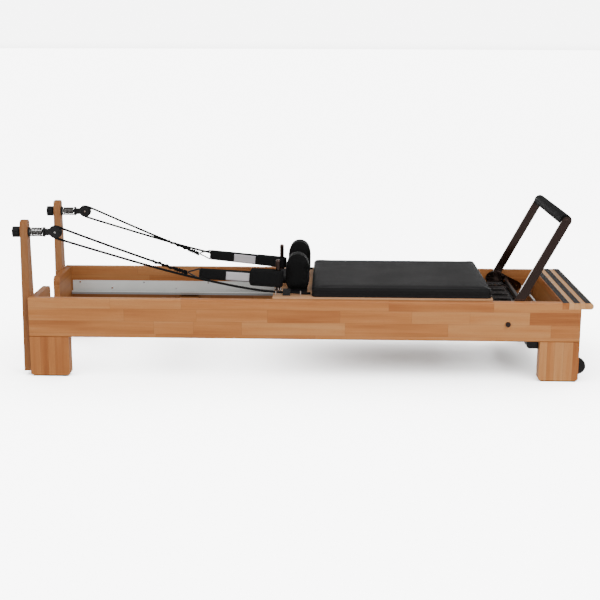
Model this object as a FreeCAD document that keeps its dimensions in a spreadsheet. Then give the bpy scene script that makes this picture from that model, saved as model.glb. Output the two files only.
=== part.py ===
import FreeCAD, Part
import math
import os
import re
import Sketcher

# Pilates reformer with a beech frame, in millimetres.
# X runs along the frame from the head end (-X, rope posts) to the foot end (+X, footbar).
# Y runs across it, with the near side at -Y. Z is up, and the leg pads stand on Z = 0.
# The origin is under the middle of the whole machine.

Vector = FreeCAD.Vector

SIZES = [
    # frame
    ("head_end", -1164, "X of the rails' head end"),
    ("foot_end", 1181, "X of the rails' foot end"),
    ("half_width", 375, "outer face of a side rail from the middle"),
    ("rail_thickness", 32, "side rail, across"),
    ("rail_bottom", 174, "underside of the rails"),
    ("rail_top", 344, "top of the rails"),
    ("rail_round", 6, "rounding along the rails' outer edges"),
    ("panel_thickness", 28, "end panels"),
    ("notch_half_width", 87, "hand notch in the head panel"),
    ("notch_bottom", 236, "bottom of the hand notch"),
    ("notch_round", 24, "rounding of the notch's top corners"),
    ("platform_start", 1100, "inner edge of the standing platform"),
    ("platform_end", 1231, "nose of the standing platform"),
    ("platform_thickness", 27, "standing platform"),
    ("grip_width", 24, "grip strip"),
    ("grip_height", 1.5, "grip strip above the platform"),
    ("leg_width", 168, "leg along X"),
    ("leg_depth", 56, "leg across"),
    ("leg_round", 10, "rounding of a leg's lower corners"),
    ("pad_height", 5, "rubber pad under a leg"),
    # rope posts and pulleys
    ("post_thickness", 33, "rope post along X"),
    ("post_top", 670, "top of a rope post"),
    ("post_bottom", 20, "foot of a rope post"),
    ("rope_line", 306, "distance of a pulley from the middle"),
    ("pulley_height", 618, "height of the adjuster rod"),
    ("pulley_centre", -1049, "X of the pulley pins"),
    ("pulley_radius", 27, "pulley flange"),
    ("groove_radius", 20, "bottom of the pulley's groove"),
    ("pulley_width", 16, "pulley across"),
    ("pin_radius", 4, "pulley pin"),
    ("rod_radius", 5, "adjuster rod"),
    ("knob_end", -1231, "outer face of an adjuster knob"),
    ("knob_length", 28, "adjuster knob along X"),
    ("knob_radius", 23.5, "adjuster knob over its lobes"),
    ("cup_radius", 21, "spring cup"),
    ("cup_thickness", 6, "spring cup along X"),
    ("coil_radius", 17.5, "middle of the tension spring's wire"),
    ("coil_wire", 2.1, "radius of the tension spring's wire"),
    ("rope_radius", 4.5, "rope"),
    # track and carriage
    ("track_start", -1130, "head end of the tracks"),
    ("track_end", 845, "foot end of the tracks"),
    ("track_bottom", 213, "underside of a track"),
    ("track_top", 275, "top of a track"),
    ("track_reach", 32, "ledge from the rail to the lip"),
    ("track_wall", 4, "wall of a track"),
    ("ledge_height", 219, "running surface of a track"),
    ("lip_top", 228, "top of a track's lip"),
    ("board_start", -123, "head end of the carriage board"),
    ("board_end", 813, "foot end of the carriage board"),
    ("board_half_width", 338, "carriage board from the middle"),
    ("board_bottom", 328, "underside of the carriage board"),
    ("board_top", 350, "top of the carriage board"),
    ("mattress_start", 40, "head end of the mattress"),
    ("mattress_half_width", 333, "mattress from the middle"),
    ("mattress_top", 391, "top of the mattress"),
    ("wheel_radius", 22, "load wheel"),
    ("wheel_width", 18, "load wheel across"),
    ("wheel_line", 327, "middle of a load wheel from the middle"),
    ("axle_radius", 4, "wheel axle"),
    ("guide_radius", 16, "guide roller"),
    ("guide_bottom", 248, "underside of a guide roller"),
    ("guide_width", 12, "guide roller along its axle"),
    ("running_gap", 0.5, "between a wheel and what it runs on"),
    ("fit_gap", 0.05, "radial clearance of a running fit"),
    ("peg_radius", 10, "strap peg"),
    ("peg_top", 487, "top of a strap peg"),
    ("peg_line", 190, "strap peg from the middle"),
    ("peg_place", -105.5, "X of the strap pegs"),
    # shoulder rests and headrest
    ("rest_start", -68, "head side of a shoulder rest"),
    ("rest_end", 26, "foot side of a shoulder rest"),
    ("rest_inner", 114, "inner face of a shoulder rest"),
    ("rest_outer", 206, "outer face of a shoulder rest"),
    ("rest_top", 512, "top of a shoulder rest"),
    ("rest_plate", 6, "base plate of a shoulder rest"),
    ("rest_plate_edge", 262, "outer edge of that plate"),
    ("stud_radius", 6, "stud of a shoulder rest"),
    ("headrest_start", -122, "free edge of the headrest"),
    ("headrest_end", 8, "hinge edge of the headrest"),
    ("headrest_half_width", 110, "headrest from the middle"),
    # footbar
    ("pivot_place", 874.8, "X of the footbar's pivot"),
    ("pivot_height", 250, "height of the footbar's pivot"),
    ("pivot_radius", 6, "pivot bolt"),
    ("arm_length", 493.4, "pivot to roller"),
    ("arm_half_width", 19, "footbar arm"),
    ("arm_inner", 328, "inner face of a footbar arm"),
    ("arm_thickness", 10, "footbar arm across"),
    ("arm_lean", 27.94, "lean of the arms towards the foot end, in degrees"),
    ("bar_radius", 14, "tube between the arms"),
    ("roller_radius", 25, "padded roller"),
    ("transport_radius", 36.5, "transport wheel"),
    ("transport_place", 1188.5, "X of the transport wheels"),
    ("transport_height", 52, "height of the transport wheels' axle"),
    ("transport_line", 300, "middle of a transport wheel from the middle"),
]

doc = FreeCAD.newDocument("reformer")
sheet = doc.addObject("Spreadsheet::Sheet", "Sizes")
for row, (alias, value, note) in enumerate(SIZES, start=1):
    sheet.set(f"A{row}", alias)
    sheet.set(f"B{row}", str(value))
    sheet.set(f"C{row}", note)
    sheet.setAlias(f"B{row}", alias)
doc.recompute()


# ---------------------------------------------------------------- helpers


def formula(text):
    """A formula of plain size names, such as "rail_top - 20", with each name on the sheet."""
    return re.sub(r"[a-z][a-z_]+", r"Sizes.\g<0>", str(text))


def size(text):
    """The value of a formula of size names."""
    return float(sheet.evalExpression(formula(text)))


def bind(thing, name, text):
    """Tie a property of an object to a formula."""
    thing.setExpression(name, formula(text))


def place(thing, x, y, z):
    """Tie an object's place to three formulas."""
    for axis, text in zip("xyz", (x, y, z)):
        bind(thing, f"Placement.Base.{axis}", text)


def box(name, low, high):
    """A block between two corners, each given as three formulas."""
    block = doc.addObject("Part::Box", name)
    for side, start, end in zip(("Length", "Width", "Height"), low, high):
        bind(block, side, f"({end}) - ({start})")
    place(block, *low)
    return block


TURNS = {
    "X": FreeCAD.Rotation(Vector(0, 1, 0), 90),
    "Y": FreeCAD.Rotation(Vector(1, 0, 0), -90),
    "Z": FreeCAD.Rotation(),
}


def rod(name, axis, start, radius, length):
    """A cylinder from a point along +X, +Y or +Z."""
    bar = doc.addObject("Part::Cylinder", name)
    bar.Placement = FreeCAD.Placement(Vector(), TURNS[axis])
    bind(bar, "Radius", radius)
    bind(bar, "Height", length)
    place(bar, *start)
    return bar


def join(name, pieces):
    """One solid from several that touch or overlap."""
    whole = doc.addObject("Part::MultiFuse", name)
    whole.Shapes = pieces
    return whole


def cut(name, base, tools):
    """A solid with other solids taken out of it."""
    tool = tools[0] if len(tools) == 1 else join(name + "_tool", tools)
    result = doc.addObject("Part::Cut", name)
    result.Base = base
    result.Tool = tool
    return result


def group(name, pieces):
    """Several separate solids in one node."""
    whole = doc.addObject("Part::Compound", name)
    whole.Links = pieces
    return whole


def mirrored(name, source):
    """The same piece on the other side of the machine."""
    copy = doc.addObject("Part::Mirroring", name)
    copy.Source = source
    copy.Normal = Vector(0, 1, 0)
    return copy


def pair(name, source):
    """A piece and its mirror image across the machine, in one node."""
    return group(name, [source, mirrored(name + "_far", source)])


def sketch(body, name, role, offset="0"):
    """A sketch on one of a body's own planes, moved out along the plane's normal."""
    plane = next(p for p in body.Origin.OriginFeatures if p.Role == role)
    drawing = body.newObject("Sketcher::SketchObject", name)
    drawing.AttachmentSupport = [(plane, "")]
    drawing.MapMode = "FlatFace"
    bind(drawing, "AttachmentOffset.Base.z", offset)
    return drawing


def fix(drawing, index, corner, x, y):
    """Tie a point of a sketch to two formulas."""
    for kind, text in (("DistanceX", x), ("DistanceY", y)):
        number = drawing.addConstraint(
            Sketcher.Constraint(kind, -1, 1, index, corner, size(text))
        )
        bind(drawing, f"Constraints[{number}]", text)


def outline(drawing, points):
    """A closed outline of straight lines through points given as formulas."""
    places = [Vector(size(x), size(y), 0) for x, y in points]
    first = drawing.GeometryCount
    count = len(points)
    for i in range(count):
        drawing.addGeometry(Part.LineSegment(places[i], places[(i + 1) % count]))
    for i in range(count):
        following = first + (i + 1) % count
        drawing.addConstraint(Sketcher.Constraint("Coincident", first + i, 2, following, 1))
    for i, (x, y) in enumerate(points):
        fix(drawing, first + i, 1, x, y)


def circle(drawing, x, y, radius):
    """A circle about a point given as formulas."""
    ring = Part.Circle(Vector(size(x), size(y), 0), Vector(0, 0, 1), size(radius))
    index = drawing.addGeometry(ring)
    fix(drawing, index, 3, x, y)
    number = drawing.addConstraint(Sketcher.Constraint("Radius", index, size(radius)))
    bind(drawing, f"Constraints[{number}]", radius)


def pad(body, drawing, length):
    """Raise a sketch along its plane's normal."""
    raised = body.newObject("PartDesign::Pad", drawing.Name + "_pad")
    raised.Profile = drawing
    bind(raised, "Length", length)
    doc.recompute()
    return raised


def turned(body, drawing, axis):
    """Turn a sketch through a full circle about one of its own axes."""
    whole = body.newObject("PartDesign::Revolution", drawing.Name + "_turn")
    whole.Profile = drawing
    whole.ReferenceAxis = (drawing, [axis])
    whole.Angle = 360
    doc.recompute()
    return whole


def rounded(body, base, radius, test):
    """Round the edges of a feature whose bounding box passes a test."""
    names = [
        f"Edge{i}"
        for i, edge in enumerate(base.Shape.Edges, start=1)
        if test(edge.BoundBox)
    ]
    fillet = body.newObject("PartDesign::Fillet", base.Name + "_round")
    fillet.Base = (base, names)
    bind(fillet, "Radius", radius)
    doc.recompute()
    return fillet


def new_body(name):
    return doc.addObject("PartDesign::Body", name)


def near(a, b):
    return abs(a - b) < 0.01


# ---------------------------------------------------------------- wooden frame


def side_rail():
    """Near rail: a long board, rebated at the foot end for the platform."""
    body = new_body("near_side_rail")
    side = sketch(body, "rail_side", "XZ_Plane", "half_width - rail_thickness")
    seat = "rail_top - platform_thickness"
    outline(
        side,
        [
            ("head_end", "rail_bottom"),
            ("foot_end", "rail_bottom"),
            ("foot_end", seat),
            ("platform_start", seat),
            ("platform_start", "rail_top"),
            ("head_end", "rail_top"),
        ],
    )
    circle(side, "pivot_place", "pivot_height", "pivot_radius + fit_gap")
    board = pad(body, side, "rail_thickness")
    outer = -size("half_width")
    long_edge = 1000
    rounded(
        body,
        board,
        "rail_round",
        lambda b: b.XLength > long_edge and near(b.YMin, outer) and near(b.YMax, outer),
    )
    return body


def head_panel():
    """Head panel between the rails, with a hand notch in its top edge."""
    body = new_body("head_panel")
    inner = "half_width - rail_thickness"
    face = sketch(body, "head_panel_face", "YZ_Plane", "head_end")
    outline(
        face,
        [
            (f"-({inner})", "rail_bottom"),
            (inner, "rail_bottom"),
            (inner, "rail_top - 3"),
            ("notch_half_width", "rail_top - 3"),
            ("notch_half_width", "notch_bottom"),
            ("-notch_half_width", "notch_bottom"),
            ("-notch_half_width", "rail_top - 3"),
            (f"-({inner})", "rail_top - 3"),
        ],
    )
    board = pad(body, face, "panel_thickness")
    notch = size("notch_half_width")

    def at_notch(b):
        return b.XLength > 1 and b.YLength < 1 and near(abs(b.YMin), notch)

    rounded(body, board, "notch_round", at_notch)
    return body


def foot_panels():
    """End panel and the riser board under the platform's inner edge."""
    inner = "half_width - rail_thickness"
    seat = "rail_top - platform_thickness"
    end = box(
        "foot_end_panel",
        ("foot_end - panel_thickness", f"-({inner})", "rail_bottom"),
        ("foot_end", inner, seat),
    )
    riser = box(
        "platform_riser",
        ("platform_start", f"-({inner})", "rail_bottom"),
        ("platform_start + panel_thickness - 3", inner, seat),
    )
    return group("foot_panels", [end, riser])


def standing_platform():
    """Platform across both rails, with a rounded nose."""
    body = new_body("standing_platform")
    side = sketch(body, "platform_side", "XZ_Plane", "-half_width")
    seat = "rail_top - platform_thickness"
    outline(
        side,
        [
            ("platform_start", seat),
            ("platform_end", seat),
            ("platform_end", "rail_top"),
            ("platform_start", "rail_top"),
        ],
    )
    board = pad(body, side, "2 * half_width")
    nose = size("platform_end")
    rounded(
        body, board, "platform_thickness / 2 - 1.5", lambda b: b.YLength > 100 and near(b.XMin, nose)
    )
    return body


def platform_grip_strips():
    strips = []
    for number, middle in enumerate((1116, 1162, 1208)):
        strips.append(
            box(
                f"grip_{number}",
                (f"{middle} - grip_width / 2", "-half_width + 2", "rail_top"),
                (f"{middle} + grip_width / 2", "half_width - 2", "rail_top + grip_height"),
            )
        )
    return group("platform_grip_strips", strips)


def one_leg(name, start):
    """A leg under the near rail, with rounded lower corners."""
    body = new_body(name)
    front = sketch(body, name + "_front", "XZ_Plane", "half_width - leg_depth")
    outline(
        front,
        [
            (start, "pad_height"),
            (f"{start} + leg_width", "pad_height"),
            (f"{start} + leg_width", "rail_bottom"),
            (start, "rail_bottom"),
        ],
    )
    block = pad(body, front, "leg_depth")
    low = size("pad_height")
    rounded(body, block, "leg_round", lambda b: b.YLength > 20 and near(b.ZMin, low) and near(b.ZMax, low)
            and b.XLength < 1)
    return body


def frame_legs():
    head = one_leg("head_leg", "head_end")
    foot = one_leg("foot_leg", "foot_end - leg_width")
    return group(
        "frame_legs",
        [head, mirrored("far_head_leg", head), foot, mirrored("far_foot_leg", foot)],
    )


def leg_pads():
    pads = []
    for name, start in (("head", "head_end"), ("foot", "foot_end - leg_width")):
        sole = box(
            name + "_pad",
            (f"{start} + leg_round", "-half_width + 2", "0"),
            (f"{start} + leg_width - leg_round", "-half_width + leg_depth - 2", "pad_height"),
        )
        pads += [sole, mirrored("far_" + name + "_pad", sole)]
    return group("leg_pads", pads)


def rope_post():
    """Tapered board on the head end that carries a pulley."""
    body = new_body("near_rope_post")
    face = sketch(body, "post_face", "YZ_Plane", "head_end - post_thickness")
    outline(
        face,
        [
            ("-363", "post_bottom"),
            ("-245", "post_bottom"),
            ("-282.5", "post_top"),
            ("-329.5", "post_top"),
        ],
    )
    circle(face, "-rope_line", "pulley_height", "rod_radius + 1")
    board = pad(body, face, "post_thickness")
    top = size("post_top")
    crown = rounded(body, board, "17", lambda b: near(b.ZMin, top) and b.XLength > 20)
    sides = size("post_thickness") / 2
    rounded(body, crown, "5", lambda b: b.ZLength > 500 and b.XLength < sides)
    return body


def cross_braces():
    """Two boards across the frame, below the tracks."""
    inner = "half_width - rail_thickness"
    boards = []
    for number, middle in enumerate((-560, 240)):
        boards.append(
            box(
                f"brace_{number}",
                (f"{middle} - 45", f"-({inner})", "rail_bottom + 6"),
                (f"{middle} + 45", inner, "rail_bottom + 28"),
            )
        )
    return group("cross_braces", boards)


def rail_blocks():
    """Wooden block inside each rail beside the footbar."""
    block = box(
        "near_rail_block",
        ("track_end + 60", "-half_width + rail_thickness", "rail_bottom + 20"),
        ("platform_start", "-half_width + rail_thickness + 5", "pivot_height + 30"),
    )
    return pair("rail_blocks", block)


# ---------------------------------------------------------------- tracks


def track():
    """Aluminium track: a wall on the rail, a ledge for the wheels and a lip, each as its own bar."""
    outer = "-(half_width - rail_thickness)"
    inner = f"{outer} + track_reach"
    bars = [
        ("track_wall", f"{outer}", f"{outer} + track_wall", "ledge_height", "track_top"),
        ("track_ledge", outer, inner, "track_bottom", "ledge_height"),
        ("track_lip", f"{inner} - track_wall", inner, "ledge_height", "lip_top"),
    ]
    pieces = []
    for name, start, end, low, high in bars:
        pieces.append(box(name, ("track_start", start, low), ("track_end", end, high)))
    return group("near_track", pieces)


SCREW_PITCH = 312
UPPER_SCREWS = 7
LOWER_SCREWS = 6


def track_screws():
    """Pan-head screws through the track's wall, in two staggered rows."""
    rows = [("upper", -1094, 267, UPPER_SCREWS), ("lower", -1094 + SCREW_PITCH / 2, 238, LOWER_SCREWS)]
    wall = "-(half_width - rail_thickness - track_wall)"
    screws = []
    for row, start, height, count in rows:
        for number in range(count):
            x = start + number * SCREW_PITCH
            name = f"{row}_screw_{number}"
            head = rod(name + "_head", "Y", (x, wall, height), "4.2", "1.8")
            shank = rod(name + "_shank", "Y", (x, f"{wall} - 16", height), "2", "16")
            screw = join(name, [head, shank])
            screws += [screw, mirrored("far_" + name, screw)]
    return group("track_screws", screws)


def track_bumpers():
    """Rubber stops on the ledges at the foot end of the carriage's travel."""
    stop = box(
        "near_bumper",
        (797, "-half_width + rail_thickness + track_wall + 1", "ledge_height"),
        (819, "-half_width + rail_thickness + track_reach - track_wall - 1", "ledge_height + 34"),
    )
    return group("track_bumpers", [stop, mirrored("far_bumper", stop)])


# ---------------------------------------------------------------- rope hardware


def knob():
    """Hand knob: a disc with eight finger grooves and a bore for the rod."""
    length = "knob_length"
    disc = rod("knob_disc", "X", ("knob_end", "-rope_line", "pulley_height"), "knob_radius", length)
    tools = [
        rod(
            "knob_bore",
            "X",
            ("knob_end + 8", "-rope_line", "pulley_height"),
            "rod_radius + fit_gap",
            length,
        )
    ]
    lobes = 8
    for number in range(lobes):
        angle = 2 * math.pi * number / lobes
        y = 25.6 * math.cos(angle)
        z = 25.6 * math.sin(angle)
        tools.append(
            rod(
                f"finger_groove_{number}",
                "X",
                ("knob_end - 1", f"-rope_line + {y:.3f}", f"pulley_height + {z:.3f}"),
                "5.5",
                f"{length} + 2",
            )
        )
    return cut("near_adjuster_knob", disc, tools)


def tension_spring():
    """Coil spring on the adjuster rod between the post and the pulley."""
    turns = 10
    start = size("head_end + cup_thickness")
    end = size("head_end + 64")
    pitch = (end - start - 2 * size("coil_wire") - 0.4) / turns
    length = pitch * turns
    coil = Part.makeHelix(pitch, length, size("coil_radius"))
    section = Part.Wire(
        Part.makeCircle(size("coil_wire"), Vector(size("coil_radius"), 0, 0), Vector(0, 1, 0))
    )
    sweep = Part.BRepOffsetAPI.MakePipeShell(Part.Wire(coil))
    sweep.setFrenetMode(True)
    sweep.add(section)
    sweep.build()
    sweep.makeSolid()
    spring = doc.addObject("Part::Feature", "near_tension_spring")
    spring.Shape = sweep.shape()
    middle = Vector(start + size("coil_wire") + 0.2, -size("rope_line"), size("pulley_height"))
    spring.Placement = FreeCAD.Placement(middle, TURNS["X"])
    return pair("tension_springs", spring)


def pulley_block():
    """Adjuster rod, spring cups and the clevis that holds the pulley."""
    line = ("-rope_line", "pulley_height")
    stem = rod("adjuster_rod", "X", ("knob_end + 8.2", *line), "rod_radius", "132")
    washer = rod("post_washer", "X", ("head_end - 38.7", *line), "12", "38.7 - post_thickness")
    inner_cup = rod("inner_cup", "X", ("head_end", *line), "cup_radius", "cup_thickness")
    outer_cup = rod("outer_cup", "X", ("head_end + 64", *line), "cup_radius", "cup_thickness")
    bore = rod("cup_bore", "X", ("head_end - 45", *line), "rod_radius + 0.3", "52")
    washer_and_cup = [cut("washer", washer, [bore]), cut("cup", inner_cup, [bore])]
    cheek_thickness = 3
    cheeks = []
    sides = (
        ("front", f"-rope_line - pulley_width / 2 - 1 - {cheek_thickness}"),
        ("back", "-rope_line + pulley_width / 2 + 1"),
    )
    for name, side in sides:
        middle = ("pulley_centre", side, "pulley_height")
        disc = rod(name + "_cheek_disc", "Y", middle, "22", cheek_thickness)
        strap = box(
            name + "_cheek_strap",
            ("head_end + 70", side, "pulley_height - 13"),
            ("pulley_centre", f"{side} + {cheek_thickness}", "pulley_height + 13"),
        )
        cheeks.append(join(name + "_cheek", [disc, strap]))
    yoke = box(
        "clevis_yoke",
        ("head_end + 70", "-rope_line - pulley_width / 2 - 1", "pulley_height - 13"),
        ("head_end + 82", "-rope_line + pulley_width / 2 + 1", "pulley_height + 13"),
    )
    body = join("clevis", [yoke, outer_cup, stem, *cheeks])
    pin_hole = rod(
        "pin_hole", "Y", ("pulley_centre", "-rope_line - 20", "pulley_height"), "pin_radius", "40"
    )
    clevis = cut("clevis_bored", body, [pin_hole])
    block = group("near_pulley_block", [clevis, *washer_and_cup])
    return pair("pulley_blocks", block)


def pulley_pins():
    pin = rod(
        "near_pulley_pin", "Y", ("pulley_centre", "-rope_line - 14", "pulley_height"), "pin_radius", "28"
    )
    return pair("pulley_pins", pin)


def pulley_wheel():
    """Grooved wheel turned about its pin."""
    body = new_body("near_pulley_wheel")
    section = sketch(body, "pulley_section", "XY_Plane")
    half = "pulley_width / 2"
    outline(
        section,
        [
            ("pin_radius + fit_gap", f"-({half})"),
            ("pulley_radius", f"-({half})"),
            ("pulley_radius", f"-({half}) + 1"),
            ("groove_radius", "-4"),
            ("groove_radius", "4"),
            ("pulley_radius", f"{half} - 1"),
            ("pulley_radius", half),
            ("pin_radius + fit_gap", half),
        ],
    )
    turned(body, section, "V_Axis")
    place(body, "pulley_centre", "-rope_line", "pulley_height")
    return body


# ---------------------------------------------------------------- foot end steelwork


def foot_cross_beam():
    """Black steel beam under the frame, rounded below."""
    body = new_body("foot_cross_beam")
    wide = sketch(body, "beam_between_rails", "XZ_Plane", "-(half_width - rail_thickness)")
    leg = "foot_end - leg_width"
    outline(wide, [("962", "137"), (leg, "137"), (leg, "185"), ("962", "185")])
    pad(body, wide, "2 * (half_width - rail_thickness)")
    narrow = sketch(body, "beam_between_legs", "XZ_Plane", "-(half_width - leg_depth)")
    outline(narrow, [("962", "137"), ("1072", "137"), ("1072", "185"), ("962", "185")])
    beam = pad(body, narrow, "2 * (half_width - leg_depth)")
    rounded(body, beam, "16", lambda b: b.YLength > 100 and near(b.ZMin, 137) and b.XLength < 1)
    return body


SPRING_LINES = (-200, -100, 0, 100, 200)
SPRING_HEIGHT = 300


def spring_bar():
    """Round bar on two uprights that takes the foot end of the springs, with a cover plate above it."""
    bar = rod("spring_round", "Y", (960, -268, SPRING_HEIGHT), "9", "536")
    foot = box("upright_foot", (962, -288, 185), (1004, -256, 191))
    plate = box("upright_plate", (948, -276, 188), (974, -268, 288))
    heel = box("upright_heel", (948, -276, 188), (1004, -268, 204))
    upright = join("near_upright", [foot, plate, heel])
    cover = box("spring_cover", (835, -268, 281), (985, 268, 284))
    return group("spring_bar", [bar, cover, upright, mirrored("far_upright", upright)])


def resistance_springs():
    """Five springs from the carriage to the spring bar, each as its outer shape."""
    springs = []
    for number, y in enumerate(SPRING_LINES):
        springs.append(rod(f"spring_{number}", "X", (374, y, SPRING_HEIGHT), "14", "564"))
    return group("resistance_springs", springs)


def footbar_pivot_bolts():
    """Bolt through the rail and the arm, with a round head outside and a nut inside."""
    start = ("pivot_place", "-half_width - 7", "pivot_height")
    shank = rod("pivot_shank", "Y", start, "pivot_radius", "half_width + 7 - arm_inner + 8.3")
    head = rod("pivot_head", "Y", start, "11", "7")
    spacer_start = ("pivot_place", "-half_width + rail_thickness", "pivot_height")
    spacer = rod("pivot_spacer", "Y", spacer_start, "12", "half_width - rail_thickness - 338 - 0.2")
    nut = rod("pivot_nut", "Y", ("pivot_place", "-arm_inner + 0.3", "pivot_height"), "10", "8")
    bolt = join("near_pivot_bolt", [shank, head, spacer, nut])
    return pair("footbar_pivot_bolts", bolt)


def footbar_arm():
    """Flat steel arm with round ends, bored for the pivot bolt."""
    start = ("0", "-arm_inner - arm_thickness", "0")
    low = rod("arm_low_end", "Y", start, "arm_half_width", "arm_thickness")
    tip = ("0", "-arm_inner - arm_thickness", "arm_length")
    high = rod("arm_high_end", "Y", tip, "arm_half_width", "arm_thickness")
    blade = box(
        "arm_blade",
        ("-arm_half_width", "-arm_inner - arm_thickness", "0"),
        ("arm_half_width", "-arm_inner", "arm_length"),
    )
    bore = rod("arm_bore", "Y", ("0", "-half_width", "0"), "pivot_radius + fit_gap", "80")
    arm = cut("near_footbar_arm", join("arm_blank", [low, high, blade]), [bore])
    lean(arm)
    return arm


def lean(piece):
    """Lean a piece that is drawn upright about the footbar's pivot."""
    pivot = Vector(size("pivot_place"), 0, size("pivot_height"))
    piece.Placement = FreeCAD.Placement(pivot, FreeCAD.Rotation(Vector(0, 1, 0), size("arm_lean")))


def footbar_tube():
    bar = rod("cross_bar", "Y", ("0", "-arm_inner", "arm_length"), "bar_radius", "2 * arm_inner")
    tube = group("footbar_tube", [bar])
    lean(tube)
    return tube


def footbar_pad():
    """Padded roller on the tube."""
    reach = "arm_inner - 2"
    skin = rod("pad_skin", "Y", ("0", f"-({reach})", "arm_length"), "roller_radius", f"2 * ({reach})")
    bore = rod("pad_bore", "Y", ("0", "-half_width", "arm_length"), "bar_radius + 0.2", "2 * half_width")
    roller = cut("footbar_pad", skin, [bore])
    lean(roller)
    return roller


PLATE_BOLTS = ((-21, 62), (-2, 87))


def footbar_fittings():
    """Bolts on the arms, one in each roller end and two in each lock plate, and the latch's guide."""
    outer = "-arm_inner - arm_thickness"
    cap = rod("end_bolt", "Y", ("0", f"{outer} - 6", "arm_length"), "7", "6")
    bolts = [cap]
    for number, (x, z) in enumerate(PLATE_BOLTS):
        bolts.append(rod(f"plate_bolt_{number}", "Y", (x, "-arm_inner + 8", z), "6", "5"))
    near_bolts = group("near_arm_bolts", bolts)
    lean(near_bolts)
    return group("footbar_fittings", [near_bolts, mirrored("far_arm_bolts", near_bolts), latch_guide()])


def lock_plate():
    """Leaf-shaped plate on the inside of an arm, with three locking holes."""
    thickness = 8
    corners = [
        (-36, 50),
        (-34, 74),
        (-12, 98),
        (43, 104),
        (100, 106),
        (131, 99),
        (136, 84),
        (110, 59),
        (60, 50),
        (10, 42),
    ]
    start = -size("arm_inner")
    points = [Vector(x, start, z) for x, z in corners]
    edge = Part.BSplineCurve()
    edge.interpolate(Points=points, PeriodicFlag=True)
    face = Part.Face(Part.Wire(edge.toShape()))
    leaf = face.extrude(Vector(0, thickness, 0))
    for x, z in ((50, 77), (84, 81), (115, 87)):
        hole_start = Vector(x, start - thickness, z)
        leaf = leaf.cut(Part.makeCylinder(5, 3 * thickness, hole_start, Vector(0, 1, 0)))
    plate = doc.addObject("Part::Feature", "near_lock_plate")
    plate.Shape = leaf
    lean(plate)
    return pair("footbar_lock_plates", plate)


LATCH_TILT = 39.5
LATCH_TOP = 159.5


def latch_frame():
    """Place and direction of the latch rod, which slides along its own length."""
    tilt = math.radians(LATCH_TILT)
    down = Vector(math.sin(tilt), 0, -math.cos(tilt))
    upright = math.radians(size("arm_lean"))
    top = Vector(
        size("pivot_place") + LATCH_TOP * math.sin(upright),
        -size("arm_inner") + 14,
        size("pivot_height") + LATCH_TOP * math.cos(upright),
    )
    return top, down


def footbar_latch_rod():
    """Chromed rod that slides in its guide and drops into the lock plate."""
    top, down = latch_frame()
    length = 150
    start = top - down * 12
    bar = Part.makeCylinder(4, length, start, down)
    grip = Part.makeSphere(7, start)
    rod_shape = bar.fuse(grip).removeSplitter()
    piece = doc.addObject("Part::Feature", "footbar_latch_rod")
    piece.Shape = rod_shape
    return piece


def latch_guide():
    """Guide block on the near arm with a running fit for the latch rod."""
    top, down = latch_frame()
    block = Part.makeBox(22, 14, 22, Vector(-11, -7, -11))
    block.Placement = FreeCAD.Placement(
        top + down * 18 + Vector(0, -7, 0), FreeCAD.Rotation(Vector(0, 0, 1), down)
    )
    block = block.common(Part.makeBox(400, 40, 400, Vector(800, -size("arm_inner"), 200)))
    hole = Part.makeCylinder(4 + size("fit_gap"), 120, top - down * 40, down)
    piece = doc.addObject("Part::Feature", "footbar_latch_guide")
    piece.Shape = block.cut(hole)
    return piece


# ---------------------------------------------------------------- transport wheels


def wheel_brackets():
    """Plate and axle inside each foot leg for a transport wheel."""
    inner = "-half_width + leg_depth"
    plate = box("transport_plate", ("1112", inner, "34"), ("1196", f"{inner} + 6", "70"))
    axle_start = ("transport_place", inner, "transport_height")
    axle = rod("transport_axle", "Y", axle_start, "5", "33")
    head = rod("transport_head", "Y", ("transport_place", f"{inner} + 31", "transport_height"), "9", "5")
    spacer = rod("transport_spacer", "Y", ("transport_place", inner, "transport_height"), "9", "7.5")
    return pair("wheel_brackets", join("near_wheel_bracket", [plate, axle, head, spacer]))


def ring_wheel(name, radius, bore, width):
    """A wheel with rounded tyre edges, drawn about Y with its middle at the origin."""
    body = new_body(name)
    section = sketch(body, name + "_section", "XY_Plane")
    half = f"({width}) / 2"
    outline(
        section,
        [
            (bore, f"-{half}"),
            (f"{radius} - 2", f"-{half}"),
            (radius, f"-{half} + 2"),
            (radius, f"{half} - 2"),
            (f"{radius} - 2", half),
            (bore, half),
        ],
    )
    turned(body, section, "V_Axis")
    return body


def transport_wheel():
    wheel = ring_wheel("near_transport_wheel", "transport_radius", "5 + fit_gap", "22")
    place(wheel, "transport_place", "-transport_line", "transport_height")
    return wheel


# ---------------------------------------------------------------- carriage


STUD_PLACES = (-45, 3)


def stud_places():
    """X and Y of the four studs that the shoulder rests stand on."""
    middle = "(rest_inner + rest_outer) / 2"
    return [(x, f"{sign}{middle}") for x in STUD_PLACES for sign in ("-", "")]


def carriage_board():
    board = box(
        "carriage_blank",
        ("board_start", "-board_half_width", "board_bottom"),
        ("board_end", "board_half_width", "board_top"),
    )
    holes = []
    for number, (x, y) in enumerate(stud_places()):
        start = (x, y, "board_bottom - 1")
        holes.append(rod(f"stud_hole_{number}", "Z", start, "stud_radius + fit_gap", "30"))
    return cut("carriage_board", board, holes)


def mattress():
    body = new_body("mattress")
    plan = sketch(body, "mattress_plan", "XY_Plane", "board_top")
    outline(
        plan,
        [
            ("mattress_start", "-mattress_half_width"),
            ("board_end", "-mattress_half_width"),
            ("board_end", "mattress_half_width"),
            ("mattress_start", "mattress_half_width"),
        ],
    )
    block = pad(body, plan, "mattress_top - board_top")
    rounded(body, block, "20", lambda b: b.ZLength > 20)
    return body


def carriage_bearers():
    bearer = box(
        "near_bearer",
        ("board_start + 23", -265, "board_bottom - 28"),
        ("board_end - 33", -235, "board_bottom"),
    )
    return pair("carriage_bearers", bearer)


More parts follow.
